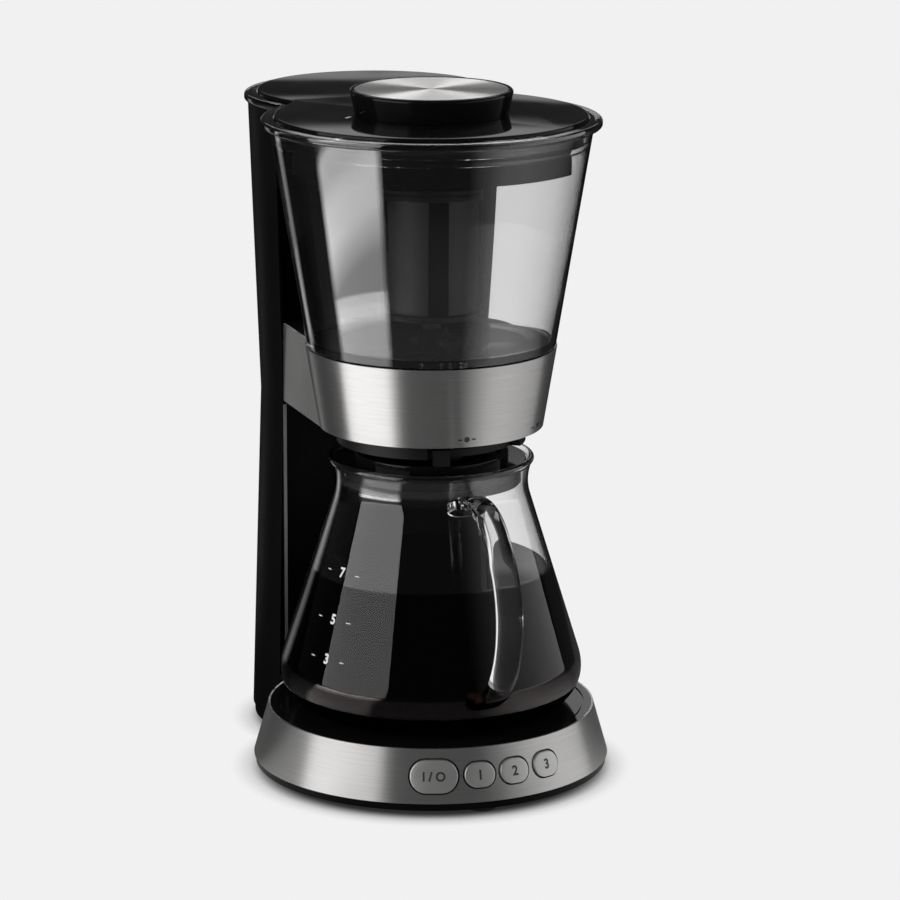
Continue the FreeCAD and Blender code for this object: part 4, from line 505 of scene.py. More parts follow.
def floor_paint():
    """Pale, with the object's shadow near its foot, deepened by a painted contact shadow. Metal and
    glass see it glow by sectors: painted reflections.
    """
    paint = Paint("floor")
    x, y, z = paint.parts(paint.point())
    turn, reach, height = paint.round_brew_axis()
    angle = paint.times(turn, 180 / pi)
    from_column = paint.length(x, paint.less(y, AXIS_Y + COLUMN_BEHIND))
    from_foot = paint.math(
        "MINIMUM", paint.less(reach, BASE_RADIUS), paint.less(from_column, COLUMN_FOOT_RADIUS))
    near = paint.spread(from_foot, 1, 0, 0, SHADOW_REACH, smooth=True)
    # Painted contact shadow: darkens the floor's colour and glow close round the foot.
    painted_shadow = paint.spread(
        from_foot, PAINTED_SHADOW_LEVEL, 1, PAINTED_SHADOW_START, PAINTED_SHADOW_REACH, smooth=True)
    mottle = paint.spread(
        paint.noise(9), FLOOR_SHADE * (1 - FLOOR_MOTTLE), FLOOR_SHADE * (1 + FLOOR_MOTTLE))
    shade = paint.times(near, mottle)
    rest = paint.less(PALE, paint.times(shade, FLOOR_LIGHT))
    diffuse = paint.add("ShaderNodeBsdfDiffuse", {"Color": paint.times(shade, painted_shadow)})
    glow = paint.glow(paint.times(rest, painted_shadow))
    seen = paint.add("ShaderNodeAddShader", {0: diffuse, 1: glow})

    def sector(value, start, start_edge, stop, stop_edge, level):
        return paint.times(
            paint.spread(value, 0, level, start - start_edge, start + start_edge),
            paint.spread(value, 1, 0, stop - stop_edge, stop + stop_edge))

    # Painted reflections: how brightly metal and glass see the floor glow, by sector and reach.
    patch = paint.times(
        paint.spread(reach, 0, 1, PATCH_START, PATCH_START + PATCH_EDGE),
        paint.spread(reach, 1, 0, PATCH_STOP, PATCH_STOP + PATCH_EDGE))
    patch_level = paint.times(
        paint.spread(reach, MIRRORED_PATCH, MIRRORED_FAR_PATCH, *PATCH_BRIGHTENS),
        paint.spread(reach, 1, PATCH_DIM_SHARE, *PATCH_DIMS))
    near_left = paint.spread(reach, MIRRORED_LEFT, MIRRORED_LEFT_END, PATCH_START, PATCH_STOP)
    left = paint.times(
        sector(angle, *LEFT_SECTOR, 1),
        paint.math("MAXIMUM", near_left, paint.times(patch, patch_level)))
    sides = paint.plus(left, sector(angle, *RIGHT_SECTOR, MIRRORED_RIGHT))
    around = paint.math("ABSOLUTE", angle)
    back = paint.times(
        sector(around, *BEHIND_SECTOR, MIRRORED_BEHIND),
        paint.spread(reach, 0, 1, *BEHIND_BEGINS))
    front = paint.times(
        paint.spread(reach, MIRRORED_FRONT, MIRRORED_FAR_FRONT, *FRONT_DIMS),
        paint.spread(around, 1, MIRRORED_SIDE, *SIDE_DIMS))
    level = paint.plus(sides, paint.math("MAXIMUM", back, front))
    # A glow for mirroring rays, and a painted bounce glow for all other light.
    paint.by_ray(seen, paint.glow(level), paint.glow(FLOOR_BOUNCE_GLOW))
    paint.owner.cycles.emission_sampling = "NONE"
    return paint.owner


def brushed_steel(name, dark, bright, radial=False):
    """Steel brushed round the brew axis: fine lines along the brushing, a blurred gleam across."""
    paint = Paint(name)
    turn, reach, height = paint.round_brew_axis()
    along = paint.times(turn, 2.2)
    across = reach if radial else height
    fine = paint.noise(1, 2, paint.vector(along, paint.times(across, 5200), 0))
    coarse = paint.noise(1, 3, paint.vector(along, paint.times(across, 1100), 4))
    lines = paint.plus(paint.times(fine, 0.6), paint.times(coarse, 0.4))
    cloud = paint.noise(22, 2)
    colour = paint.greys(paint.spread(lines, 0, 1, 0.35, 0.65), dark, bright, 0.012)
    roughness = paint.plus(paint.spread(lines, 0.38, 0.44), paint.spread(cloud, -0.02, 0.02))
    tangent = paint.vector(0, 0, 1)
    if radial:
        x, y, z = paint.parts(paint.point())
        tangent = paint.vector(x, paint.less(y, AXIS_Y), 0)
    return paint.surface(
        Base_Color=colour, Metallic=0.93, Roughness=roughness, Anisotropic=1, Tangent=tangent,
        Normal=paint.bump(lines, 0.25, 0.02 * MM))


def black_plastic(name, shade, gloss, grain, specular):
    """Moulded black plastic: a fine grain, faint flow marks and slightly uneven gloss."""
    paint = Paint(name)
    flow = paint.noise(26, 4)
    return paint.surface(
        Base_Color=paint.greys(flow, shade * 0.85, shade * 1.15),
        Roughness=paint.plus(gloss, paint.spread(flow, -0.03, 0.04)),
        Specular_IOR_Level=specular,
        Normal=paint.bump(paint.noise(5200, 2), grain, 0.03 * MM))


def clear_plastic():
    """Clear moulded plastic, very slightly grey, with faint flow waves and uneven polish."""
    paint = Paint("clear_plastic")
    haze = paint.noise(40, 2)
    wave = paint.noise(30, 2)
    return paint.surface(
        Base_Color=grey(0.89), Roughness=paint.spread(haze, 0, 0.008), IOR=1.5,
        Transmission_Weight=1, Coat_Weight=0.6, Coat_IOR=1.5, Coat_Roughness=0.005,
        Normal=paint.bump(wave, 0.01, 1 * MM))


def carafe_glass():
    """Blown glass with slow waves in its surface. It mirrors more above the coffee than where
    the coffee wets it, and least on the handle, which light goes through many times."""
    paint = Paint("carafe_glass")
    turn, reach, height = paint.round_brew_axis()
    body = paint.spread(
        height, WET_IOR, DRY_IOR, COFFEE_LEVEL - 0.5 * MM, COFFEE_LEVEL + 0.5 * MM)
    cone = paint.math("MULTIPLY_ADD", height, -tan(CONE_TURN), CONE_REACH)
    outside = paint.less(reach, paint.math("MINIMUM", cone, BELLY_RADIUS))
    neck = CARAFE_LOW.z + NECK_RISE
    in_handle = paint.times(
        paint.spread(outside, 0, 1, 1.5 * MM, 3.5 * MM),
        paint.spread(height, 1, 0, neck - 12 * MM, neck - 3 * MM))
    ior = paint.add(
        "ShaderNodeMix", {"Factor": in_handle, 2: body, 3: HANDLE_IOR}, data_type="FLOAT")
    haze = paint.noise(70, 4)
    wave = paint.noise(18, 2)
    return paint.surface(
        Base_Color=grey(0.98), Roughness=paint.spread(haze, 0, 0.015),
        IOR=ior, Transmission_Weight=1, Normal=paint.bump(wave, 0.015, 1 * MM))


def coffee_liquid():
    """Cold brew: clear brown where it is thin, black where it is deep."""
    paint = Paint("coffee")
    body = paint.add("ShaderNodeVolumeAbsorption", {"Color": (0.55, 0.20, 0.06, 1), "Density": 600})
    paint.feed(paint.output.inputs["Volume"], body)
    ripple = paint.noise(60, 2)
    return paint.surface(
        Base_Color=grey(1), Roughness=0, IOR=1.15, Transmission_Weight=1,
        Normal=paint.bump(ripple, 0.02, 0.3 * MM))


def button_silver():
    """Silver-painted button: fine metal flake under a satin coat."""
    paint = Paint("button_silver")
    flake = paint.noise(3800, 2)
    worn = paint.noise(120)
    return paint.surface(
        Base_Color=paint.greys(flake, 0.42, 0.52, 0.01), Metallic=0.75,
        Roughness=paint.spread(worn, 0.34, 0.42), Normal=paint.bump(flake, 0.1, 0.02 * MM))


def rubber():
    """Black rubber: a fine grain and a little pale dust."""
    paint = Paint("rubber")
    dust = paint.noise(180, 4)
    dusty = paint.spread(dust, 0, 1, 0.5, 0.8)
    return paint.surface(
        Base_Color=paint.blend(dusty, grey(0.008), grey(0.016, 0.05)),
        Roughness=paint.spread(dust, 0.68, 0.85), Specular_IOR_Level=0.3,
        Normal=paint.bump(paint.noise(2600), 0.3, 0.05 * MM))


def machined_steel(name, shade, gloss, warm=0):
    """Turned or rolled metal: fine tool marks, cloudy gloss."""
    paint = Paint(name)
    x, y, z = paint.parts(paint.point())
    marks = paint.noise(90, 3, paint.vector(x, y, paint.times(z, 60)))
    cloud = paint.noise(140, 4)
    return paint.surface(
        Base_Color=paint.greys(cloud, shade * 0.85, shade * 1.1, warm),
        Metallic=1, Roughness=paint.plus(gloss, paint.spread(marks, -0.06, 0.08)),
        Normal=paint.bump(marks, 0.15, 0.03 * MM))


def bronze():
    """Sintered bronze: dark pores in a cloudy brown metal."""
    paint = Paint("bronze")
    pores = paint.add("ShaderNodeTexVoronoi", {"Vector": paint.point(), "Scale": 3000})
    cloud = paint.noise(160, 4)
    return paint.surface(
        Base_Color=paint.blend(cloud, (0.07, 0.042, 0.022, 1), (0.12, 0.07, 0.035, 1)),
        Metallic=1, Roughness=paint.spread(cloud, 0.3, 0.5),
        Normal=paint.bump(pores.outputs["Distance"], 0.2, 0.03 * MM))


def circuit_board():
    """Green solder mask over square copper tracks."""
    paint = Paint("circuit_board")
    tracks = paint.add("ShaderNodeTexBrick", {
        "Vector": paint.point(), "Scale": 260, "Mortar Size": 0.035, "Color1": grey(0),
        "Color2": grey(0), "Mortar": grey(1)}).outputs["Color"]
    mottle = paint.noise(300)
    mask = paint.blend(mottle, (0.006, 0.07, 0.022, 1), (0.01, 0.10, 0.03, 1))
    return paint.surface(
        Base_Color=paint.blend(tracks, mask, (0.03, 0.20, 0.06, 1)),
        Roughness=paint.spread(mottle, 0.25, 0.4), Normal=paint.bump(tracks, 0.3, 0.05 * MM))


def basket_mesh():
    """Fine woven steel: wires up and round, with small gaps between them."""
    paint = Paint("basket_mesh")
    turn, reach, height = paint.round_brew_axis()

    def wire(place):
        return paint.spread(paint.math("PINGPONG", place, 0.5), 0, 1, 0.08, 0.2)
    wires = paint.math(
        "MAXIMUM", wire(paint.times(turn, MESH_RADIUS / MESH_PITCH)),
        wire(paint.math("DIVIDE", height, MESH_PITCH)))
    cloud = paint.noise(150)
    return paint.surface(
        Base_Color=paint.greys(cloud, 0.075, 0.11, 0.02), Metallic=0.8,
        Roughness=paint.spread(cloud, 0.42, 0.52), Alpha=wires,
        Normal=paint.bump(wires, 0.4, 0.08 * MM))


def ink(name, colour, shine):
    """Printed ink, a little uneven."""
    paint = Paint(name)
    patchy = paint.noise(900)
    thin = tuple(part * 0.85 for part in colour[:3]) + (1,)
    return paint.surface(
        Base_Color=paint.blend(patchy, thin, colour),
        Roughness=paint.spread(patchy, shine, shine + 0.1))


def mix_paints():
    paints = {name: black_plastic(name, *recipe) for name, recipe in PLASTICS.items()}
    paints.update({
        "steel": brushed_steel("brushed_steel", 0.50, 0.62),
        "disc_steel": brushed_steel("disc_steel", 0.66, 0.80, radial=True),
        "clear": clear_plastic(),
        "glass": carafe_glass(),
        "coffee": coffee_liquid(),
        "silver": button_silver(),
        "rubber": rubber(),
        "machined": machined_steel("machined_steel", 0.55, 0.28),
        # A darker copy of the machined steel for the spindle: painted shade.
        "dark_steel": machined_steel("dark_steel", 0.12, 0.35),
        "zinc": machined_steel("zinc_steel", 0.62, 0.36, 0.04),
        "board": circuit_board(),
        "bronze": bronze(),
        "mesh": basket_mesh(),
        "dark_ink": ink("dark_ink", (0.03, 0.03, 0.03, 1), 0.4),
        "white_ink": ink("white_ink", (0.75, 0.75, 0.74, 1), 0.4),
    })
    return paints


def paint_frame(paints):
    for finish, names in FINISHES.items():
        for name in names.split():
            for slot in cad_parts[name].material_slots:
                slot.material = paints[finish]


# ---- mesh helpers
def sharpen(piece, sharp=35):
    """Smooth shading, but for edges over the sharp angle."""
    for polygon in piece.data.polygons:
        polygon.use_smooth = True
    piece.data.set_sharp_from_angle(angle=radians(sharp))


def finish_piece(name, bm, material, sharp=35):
    """Turns a bmesh into an object."""
    bmesh.ops.recalc_face_normals(bm, faces=bm.faces)
    mesh = bpy.data.meshes.new(name)
    bm.to_mesh(mesh)
    bm.free()
    mesh.materials.append(material)
    piece = linked(name, mesh)
    sharpen(piece, sharp)
    return piece


def shares(steps):
    """Evenly spaced numbers from 0 to 1."""
    return [index / steps for index in range(steps + 1)]


def join_rings(bm, rings, closed=False):
    """Faces between neighbouring rings of vertices. A ring of one vertex is a pole."""
    pairs = list(zip(rings, rings[1:]))
    if closed:
        pairs.append((rings[-1], rings[0]))
    for low, high in pairs:
        count = max(len(low), len(high))
        for index in range(count):
            following = (index + 1) % count
            corners = []
            for ring, order in ((low, (index, following)), (high, (following, index))):
                for place in order:
                    vertex = ring[place % len(ring)]
                    if vertex not in corners:
                        corners.append(vertex)
            if len(corners) > 2:
                bm.faces.new(corners)


def fill_rings(bm, rings):
    """Faces between the rings, and one over each end."""
    join_rings(bm, rings)
    bm.faces.new(reversed(rings[0]))
    bm.faces.new(rings[-1])


def turned(outline, steps=160, closed=False, behind=0):
    """A bmesh: an outline of (radius, height) points turned about an upright axis."""
    bm = bmesh.new()
    rings = []
    for radius, height in outline:
        if radius < 0.001 * MM:
            rings.append([bm.verts.new((0, AXIS_Y + behind, height))])
        else:
            rings.append([
                bm.verts.new(about_axis(2 * pi * index / steps, radius, height, behind))
                for index in range(steps)])
    join_rings(bm, rings, closed)
    return bm


def drum(radius, low, high, steps, behind=0):
    """A bmesh: a plain upright cylinder."""
    return turned([(0, low), (radius, low), (radius, high), (0, high)], steps, behind=behind)


def arc(centre_radius, centre_height, radius, start, stop, steps):
    """Points of an arc in an outline, from start to stop in degrees above level."""
    points = []
    for step in range(steps + 1):
        turn = radians(start + (stop - start) * step / steps)
        points.append((centre_radius + radius * cos(turn), centre_height + radius * sin(turn)))
    return points


def softened(corners, steps=4):
    """An open outline whose corners (radius, height, rounding) are rounded."""
    points = []
    for index, (r, z, rounding) in enumerate(corners):
        if rounding == 0 or index in (0, len(corners) - 1):
            points.append((r, z))
            continue
        here = Vector((r, z))
        back = (Vector(corners[index - 1][:2]) - here).normalized()
        ahead = (Vector(corners[index + 1][:2]) - here).normalized()
        half = back.angle(ahead) / 2
        reach = rounding / tan(half)
        start = here + back * reach
        stop = here + ahead * reach
        centre = here + (back + ahead).normalized() * (rounding / sin(half))
        for share in shares(steps):
            spoke = (start - centre).lerp(stop - centre, share).normalized()
            points.append(tuple(centre + spoke * rounding))
    return points


def keyhole_outline(inset):
    """Outline of the chamber's rim moved in by inset: the brew disc joined to the column's."""
    front = CHAMBER_HIGH.x - inset
    back = FLANGE_COLUMN_RADIUS - inset
    corner = KEYHOLE_CORNER + inset
    squares = (front + corner) ** 2 - (back + corner) ** 2 + COLUMN_BEHIND ** 2
    reach = squares / (2 * COLUMN_BEHIND)
    side = sqrt((front + corner) ** 2 - reach ** 2)
    front_turn = atan2(side, -reach)
    back_turn = atan2(side, reach - COLUMN_BEHIND)
    to_front = Vector((-side, -reach))
    to_back = Vector((-side, COLUMN_BEHIND - reach))
    points = []
    for share in shares(120):
        turn = front_turn * (2 * share - 1)
        points.append((front * sin(turn), -front * cos(turn)))
    for share in shares(8)[1:-1]:
        spoke = to_front.lerp(to_back, share).normalized() * corner
        points.append((side + spoke.x, reach + spoke.y))
    for share in shares(80):
        turn = back_turn * (1 - 2 * share)
        points.append((back * sin(turn), COLUMN_BEHIND + back * cos(turn)))
    for share in shares(8)[1:-1]:
        spoke = to_back.lerp(to_front, share).normalized() * corner
        points.append((-side - spoke.x, reach + spoke.y))
    return points


def keyhole_plate(profile):
    """A bmesh: a plate of the keyhole outline whose edge follows (inset, height) points."""
    bm = bmesh.new()
    fill_rings(bm, [
        [bm.verts.new((x, AXIS_Y + y, height)) for x, y in keyhole_outline(inset)]
        for inset, height in profile])
    return bm


def edge_round(inset, low, high, rounding, steps=5):
    """Edge profile of a plate with its upper and lower corners rounded."""
    turns = [pi / 2 * share for share in shares(steps)]
    lower = [(inset + rounding * (1 - sin(turn)), low + rounding * (1 - cos(turn)))
             for turn in turns]
    return lower + [(inset + rounding * (1 - cos(turn)), high - rounding * (1 - sin(turn)))
                    for turn in turns]


def combine(piece, tool, operation):
    """Joins tool to piece, or cuts it away. The tool is a bmesh, or an object that then goes."""
    if isinstance(tool, bmesh.types.BMesh):
        tool = finish_piece("tool", tool, piece.data.materials[0])
    modifier = piece.modifiers.new("combine", "BOOLEAN")
    modifier.operation = operation
    modifier.solver = "EXACT"
    modifier.object = tool
    bpy.context.view_layer.update()
    made = piece.evaluated_get(bpy.context.evaluated_depsgraph_get())
    mesh = bpy.data.meshes.new_from_object(made)
    piece.modifiers.clear()
    old = piece.data
    piece.data = mesh
    bpy.data.meshes.remove(old)
    mesh.name = piece.name
    tool_mesh = tool.data
    bpy.data.objects.remove(tool)
    bpy.data.meshes.remove(tool_mesh)


# ---- carafe and coffee
def carafe_curve(inset, floor):
    """Heel, belly, cone and lip of the carafe, moved in by inset, from the floor to the rim."""
    low = CARAFE_LOW.z
    belly = low + HEEL_RADIUS
    shoulder = BELLY_RADIUS - SHOULDER_RADIUS
    slope = degrees(CONE_TURN)
    shoulder_reach = shoulder + SHOULDER_RADIUS * cos(CONE_TURN)
    shoulder_height = belly + SHOULDER_RADIUS * sin(CONE_TURN)
    neck_height = low + NECK_RISE
    neck_reach = shoulder_reach - (neck_height - shoulder_height) * tan(CONE_TURN)
    lip_reach = neck_reach + LIP_SWEEP * cos(CONE_TURN)
    lip_height = neck_height + LIP_SWEEP * sin(CONE_TURN)
    rim = degrees(asin((neck_height + LIP_RISE - lip_height) / LIP_SWEEP))
    heel = []
    for share in shares(14):
        turn = pi / 2 * (1 - share)
        heel.append((
            BELLY_RADIUS - HEEL_RADIUS + (HEEL_RADIUS - inset) * cos(turn),
            belly - (belly - floor) * sin(turn)))
    curve = heel + arc(shoulder, belly, SHOULDER_RADIUS - inset, 0, slope, 8)[1:]
    return curve + arc(lip_reach, lip_height, LIP_SWEEP + inset, 180 + slope, 180 - rim, 16)


def make_carafe(paints):
    low = CARAFE_LOW.z
    floor = (0, low + GLASS_FLOOR)
    outer = carafe_curve(0, low)
    inner = carafe_curve(GLASS_WALL, low + GLASS_FLOOR)
    rim_reach = (outer[-1][0] + inner[-1][0]) / 2
    bead = arc(rim_reach, outer[-1][1] + BEAD_RADIUS / 4, BEAD_RADIUS, -50, 230, 14)
    kick = arc(0, low + PUNT_CENTRE, PUNT_RADIUS, 90, 75, 6)
    punt = [point for point in kick if point[1] > low]
    outline = punt + outer[:-1] + bead + list(reversed(inner[:-1])) + [floor]
    carafe = finish_piece("carafe", turned(outline, 180), paints["glass"])
    handle = make_handle(paints)
    combine(handle, turned([floor] + inner + [(0, inner[-1][1])], 96), "DIFFERENCE")
    combine(carafe, handle, "UNION")
    sharpen(carafe, 50)
    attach(carafe, "carafe")
    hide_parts("carafe_glass", "carafe_handle")

    wet = carafe_curve(GLASS_WALL * COFFEE_IN_WALL, low + GLASS_FLOOR * COFFEE_IN_FLOOR)
    below = [point for point in wet if point[1] < COFFEE_LEVEL]
    last, beyond = below[-1], wet[len(below)]
    share = (COFFEE_LEVEL - last[1]) / (beyond[1] - last[1])
    shore = last[0] + (beyond[0] - last[0]) * share
    surface = [(shore - inward, COFFEE_LEVEL + up) for inward, up in MENISCUS]
    outline = [(0, wet[0][1])] + below + surface + [(0, COFFEE_LEVEL)]
    coffee = finish_piece("coffee", turned(outline), paints["coffee"], 50)
    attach(coffee, "carafe")


def handle_path():
    """Centre line of the handle as (reach, height, heading)."""
    reach, height, start = HANDLE_START
    heading = radians(start)
    points = [(reach, height, heading)]
    for radius, turned_by, steps in HANDLE_BENDS:
        part = radians(turned_by) / steps
        chord = 2 * radius * sin(part / 2) if turned_by else radius / steps
        for step in range(steps):
            reach += chord * cos(heading - part / 2)
            height += chord * sin(heading - part / 2)
            heading -= part
            points.append((reach, height, heading))
    return points


def squared(value):
    """Pulls a circle's cosine or sine out towards a rounded square."""
    return copysign(abs(value) ** HANDLE_SQUARENESS, value)


def make_handle(paints):
    """A pulled glass strap, thicker where it is melted on to the body."""
    bm = bmesh.new()
    path = handle_path()
    rings = []
    for index, (reach, height, heading) in enumerate(path):
        from_end = min(index, len(path) - 1 - index) / len(path)
        flare = 1 + HANDLE_FLARE * exp(-((from_end / HANDLE_FLARE_SHARE) ** 2))
        ring = []
        for step in range(32):
            turn = 2 * pi * step / 32
            across = HANDLE_WIDTH / 2 * flare * squared(cos(turn))
            through = HANDLE_THICK / 2 * flare * squared(sin(turn))
            ring.append(bm.verts.new((
                across, AXIS_Y - (reach - through * sin(heading)),
                height + through * cos(heading))))
        rings.append(ring)
    fill_rings(bm, rings)
    return finish_piece("handle", bm, paints["glass"])


# ---- chamber, lid and basket
def make_chamber(paints):
    """The clear vessel with its plug and hub below, and the keyhole rim that the lid lies in."""
    low = CHAMBER_FOOT
    floor = low + CHAMBER_WALL
    rim_top = CHAMBER_HIGH.z
    rim_low = rim_top - FLANGE_HEIGHT
    neck = CHAMBER_NECK_RADIUS
    inner_foot = CHAMBER_FOOT_RADIUS - CHAMBER_WALL
    slope = (neck - CHAMBER_FOOT_RADIUS) / (rim_low - low)
    plug_inside = PLUG_RADIUS - PLUG_WALL

    def inner(height):
        return inner_foot + (height - floor) * slope + CHAMBER_WALL * slope

    lines = []
    for drop in LINE_DROPS:
        height = rim_low - drop
        lines += [
            (inner(height + LINE_RISE), height + LINE_RISE, 0),
            (inner(height) - LINE_PROUD, height, 0.2 * MM),
            (inner(height - LINE_FALL), height - LINE_FALL, 0)]
    corners = [
        (HUB_BORE, low - HUB_DROP, 0), (HUB_RADIUS, low - HUB_DROP, 0.4 * MM),
        (HUB_RADIUS, low, 0.4 * MM), (plug_inside, low, 0.4 * MM),
        (plug_inside, PLUG_FOOT, 0.5 * MM), (PLUG_RADIUS, PLUG_FOOT, 0.5 * MM),
        (PLUG_RADIUS, low, 0.4 * MM), (CHAMBER_FOOT_RADIUS, low, 1 * MM), (neck, rim_low, 0),
        (neck, rim_top - NECK_DROP, 0), (neck - CHAMBER_WALL, rim_top - NECK_DROP, 0)]
    corners += lines + [
        (inner(floor), floor, 3 * MM), (HUB_FOOT_RADIUS, floor, 1.5 * MM),
        (HUB_TOP_RADIUS, floor + HUB_HEIGHT, 0.8 * MM), (HUB_BORE, floor + HUB_HEIGHT, 0)]
    outline = softened(corners, 6)
    chamber = finish_piece("chamber", turned(outline, closed=True), paints["clear"])
    flange = finish_piece(
        "flange", keyhole_plate(edge_round(0, rim_low, rim_top, 1.5 * MM)), paints["clear"])
    recess = keyhole_plate([
        (FLANGE_RIM, rim_low + FLANGE_FLOOR), (FLANGE_RIM, rim_top - FLANGE_BEVEL),
        (FLANGE_RIM - FLANGE_BEVEL, rim_top + OVERLAP)])
    combine(flange, recess, "DIFFERENCE")
    mouth = drum(neck - CHAMBER_WALL, rim_low - 2 * OVERLAP, rim_top + OVERLAP, 160)
    combine(flange, mouth, "DIFFERENCE")
    combine(chamber, flange, "UNION")
    outlet = drum(OUTLET_RADIUS, OUTLET_FOOT, low + OVERLAP / 2, 48, OUTLET_BEHIND)
    combine(chamber, outlet, "UNION")
    bore = drum(OUTLET_BORE, OUTLET_FOOT - OVERLAP, floor + OVERLAP, 48, OUTLET_BEHIND)
    combine(chamber, bore, "DIFFERENCE")
    sharpen(chamber, 30)
    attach(chamber, "chamber")
    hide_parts("mixing_chamber")


def make_lid(paints):
    """The lid's plate, its knob and the steel disc on the knob."""
    edge = edge_round(FLANGE_RIM + LID_GAP, LID_LOW.z, LID_HIGH.z, 1 * MM)
    plate = finish_piece("lid_plate", keyhole_plate(edge), paints["gloss_black"])
    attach(plate, "lid")
    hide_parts("chamber_lid")

    low, high = KNOB_LOW.z, KNOB_HIGH.z
    top = KNOB_HIGH.x
    disc = DISC_HIGH.x
    sink = DISC_LOW.z
    corners = [
        (0, low + KNOB_HOLLOW, 0), (top - KNOB_HOLLOW_INSET, low + KNOB_HOLLOW, 0.8 * MM),
        (top - KNOB_HOLLOW_INSET, low, 0.3 * MM), (top - KNOB_FOOT_INSET, low, 0.4 * MM),
        (top, high, 1.6 * MM), (disc + DISC_GAP, high, 0.35 * MM), (disc + DISC_GAP, sink, 0),
        (0, sink, 0)]
    knob = finish_piece("knob", turned(softened(corners, 6)), paints["gloss_black"])
    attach(knob, "lid")
    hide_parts("lid_knob")
    corners = [(0, sink, 0), (disc, sink, 0), (disc, DISC_HIGH.z, 0.3 * MM), (0, DISC_HIGH.z, 0)]
    cap = finish_piece("knob_cap", turned(softened(corners)), paints["disc_steel"])
    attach(cap, "lid")
    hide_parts("knob_disc")


def make_basket(paints):
    """The basket's rings, floor and four broad ribs round the mesh."""
    low, high = BASKET_LOW.z, BASKET_HIGH.z
    outside = BASKET_HIGH.x
    inside = outside - BASKET_WALL
    socket_wall = BASKET_SOCKET + BASKET_WALL
    socket_top = low + BASKET_HUB - BASKET_WALL
    bottom = turned(softened([
        (BASKET_SOCKET, low, 0), (outside, low, 0.8 * MM),
        (outside, low + BASKET_RING, 0.6 * MM), (inside, low + BASKET_RING, 0),
        (inside, low + BASKET_FLOOR, 0), (socket_wall, low + BASKET_FLOOR, 0),
        (socket_wall, low + BASKET_HUB, 0.6 * MM), (0, low + BASKET_HUB, 0), (0, socket_top, 0),
        (BASKET_SOCKET, socket_top, 0)]), 120)
    bmesh.ops.contextual_create(bottom, geom=[edge for edge in bottom.edges if edge.is_boundary])
    top = turned(softened([
        (inside, high - BASKET_RING, 0), (outside, high - BASKET_RING, 0.6 * MM),
        (outside, high, 0.8 * MM), (inside, high, 0)]), 120, closed=True)
    frame_piece = finish_piece("basket_rings", bottom, paints["basket_grey"])
    ring_piece = finish_piece("basket_top_ring", top, paints["basket_grey"])
    rib_low, rib_high = low + BASKET_RING / 2, high - BASKET_RING / 2
    rib_outer, rib_inner = outside - RIB_OUTER, outside - RIB_INNER
    section = ((rib_outer, rib_low), (rib_outer, rib_high), (rib_inner, rib_high),
               (rib_inner, rib_low))
    ribs = bmesh.new()
    for step in range(4):
        middle = RIB_ANGLE + 90 * step
        turns = [radians(middle + RIB_SPAN * (share - 0.5)) for share in shares(6)]
        fill_rings(ribs, [
            [ribs.verts.new(about_axis(turn, reach, height)) for reach, height in section]
            for turn in turns])
    rib_piece = finish_piece("basket_ribs", ribs, paints["rib_black"])
    for piece in (frame_piece, ring_piece, rib_piece):
        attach(piece, "basket")
    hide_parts("basket_frame")


# ---- buttons and marks
def on_band(turn, across, height, out):
    """A place on the leaning base band, or out from it, across from the middle of a button."""
    share = min(max((height - BAND_FOOT) / (BAND_HIGH.z - BAND_FOOT), 0), 1)
    reach = sqrt((BASE_RADIUS - BAND_LEAN * share + out) ** 2 - across ** 2)
    return (across * cos(turn) + reach * sin(turn),
            AXIS_Y + across * sin(turn) - reach * cos(turn), height)


def obround_ring(bm, half_width, half_height, inset, out, turn):
    """A ring of vertices round a pill shape on the base band."""
    radius = max(half_height - inset, 0.01 * MM)
    flat = half_width - half_height
    ring = []
    for side, start in ((1, -90), (-1, 90)):
        for share in shares(16):
            spoke = radians(start + 180 * share)
            across = side * flat + radius * cos(spoke)
            height = BUTTON_HEIGHT + radius * sin(spoke)
            ring.append(bm.verts.new(on_band(turn, across, height, out)))
    return ring


def make_button(name, half_width, half_height, angle, paints):
    """A button with a rounded, slightly domed face and a keeper flange behind the band."""
    bm = bmesh.new()
    back = -BUTTON_DEPTH
    profile = [(-BUTTON_KEEPER, back - BUTTON_KEEPER_DEPTH), (-BUTTON_KEEPER, back), (0, back)]
    for share in shares(5):
        lift = pi / 2 * share
        profile.append((
            BUTTON_EDGE * (1 - cos(lift)), BUTTON_PROUD - BUTTON_EDGE * (1 - sin(lift))))
    for share in (0.3, 0.6, 0.9, 1):
        profile.append((
            BUTTON_EDGE + (half_height - BUTTON_EDGE) * share,
            BUTTON_PROUD + BUTTON_DOME * share))
    fill_rings(bm, [
        obround_ring(bm, half_width, half_height, inset, out, radians(angle))
        for inset, out in profile])
    bmesh.ops.remove_doubles(bm, verts=bm.verts, dist=0.02 * MM)
    button = finish_piece(f"{name}_face", bm, paints["silver"])
    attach(button, f"{name}_button")
    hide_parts(f"{name}_button")


def flat_mark(name, loops, place, material):
    """Thin flat mark: closed loops of (across, up) points, laid on the object by place()."""
    bm = bmesh.new()
    for loop in loops:
        bm.faces.new([bm.verts.new(place(across, up)) for across, up in loop])
    return finish_piece(name, bm, material)


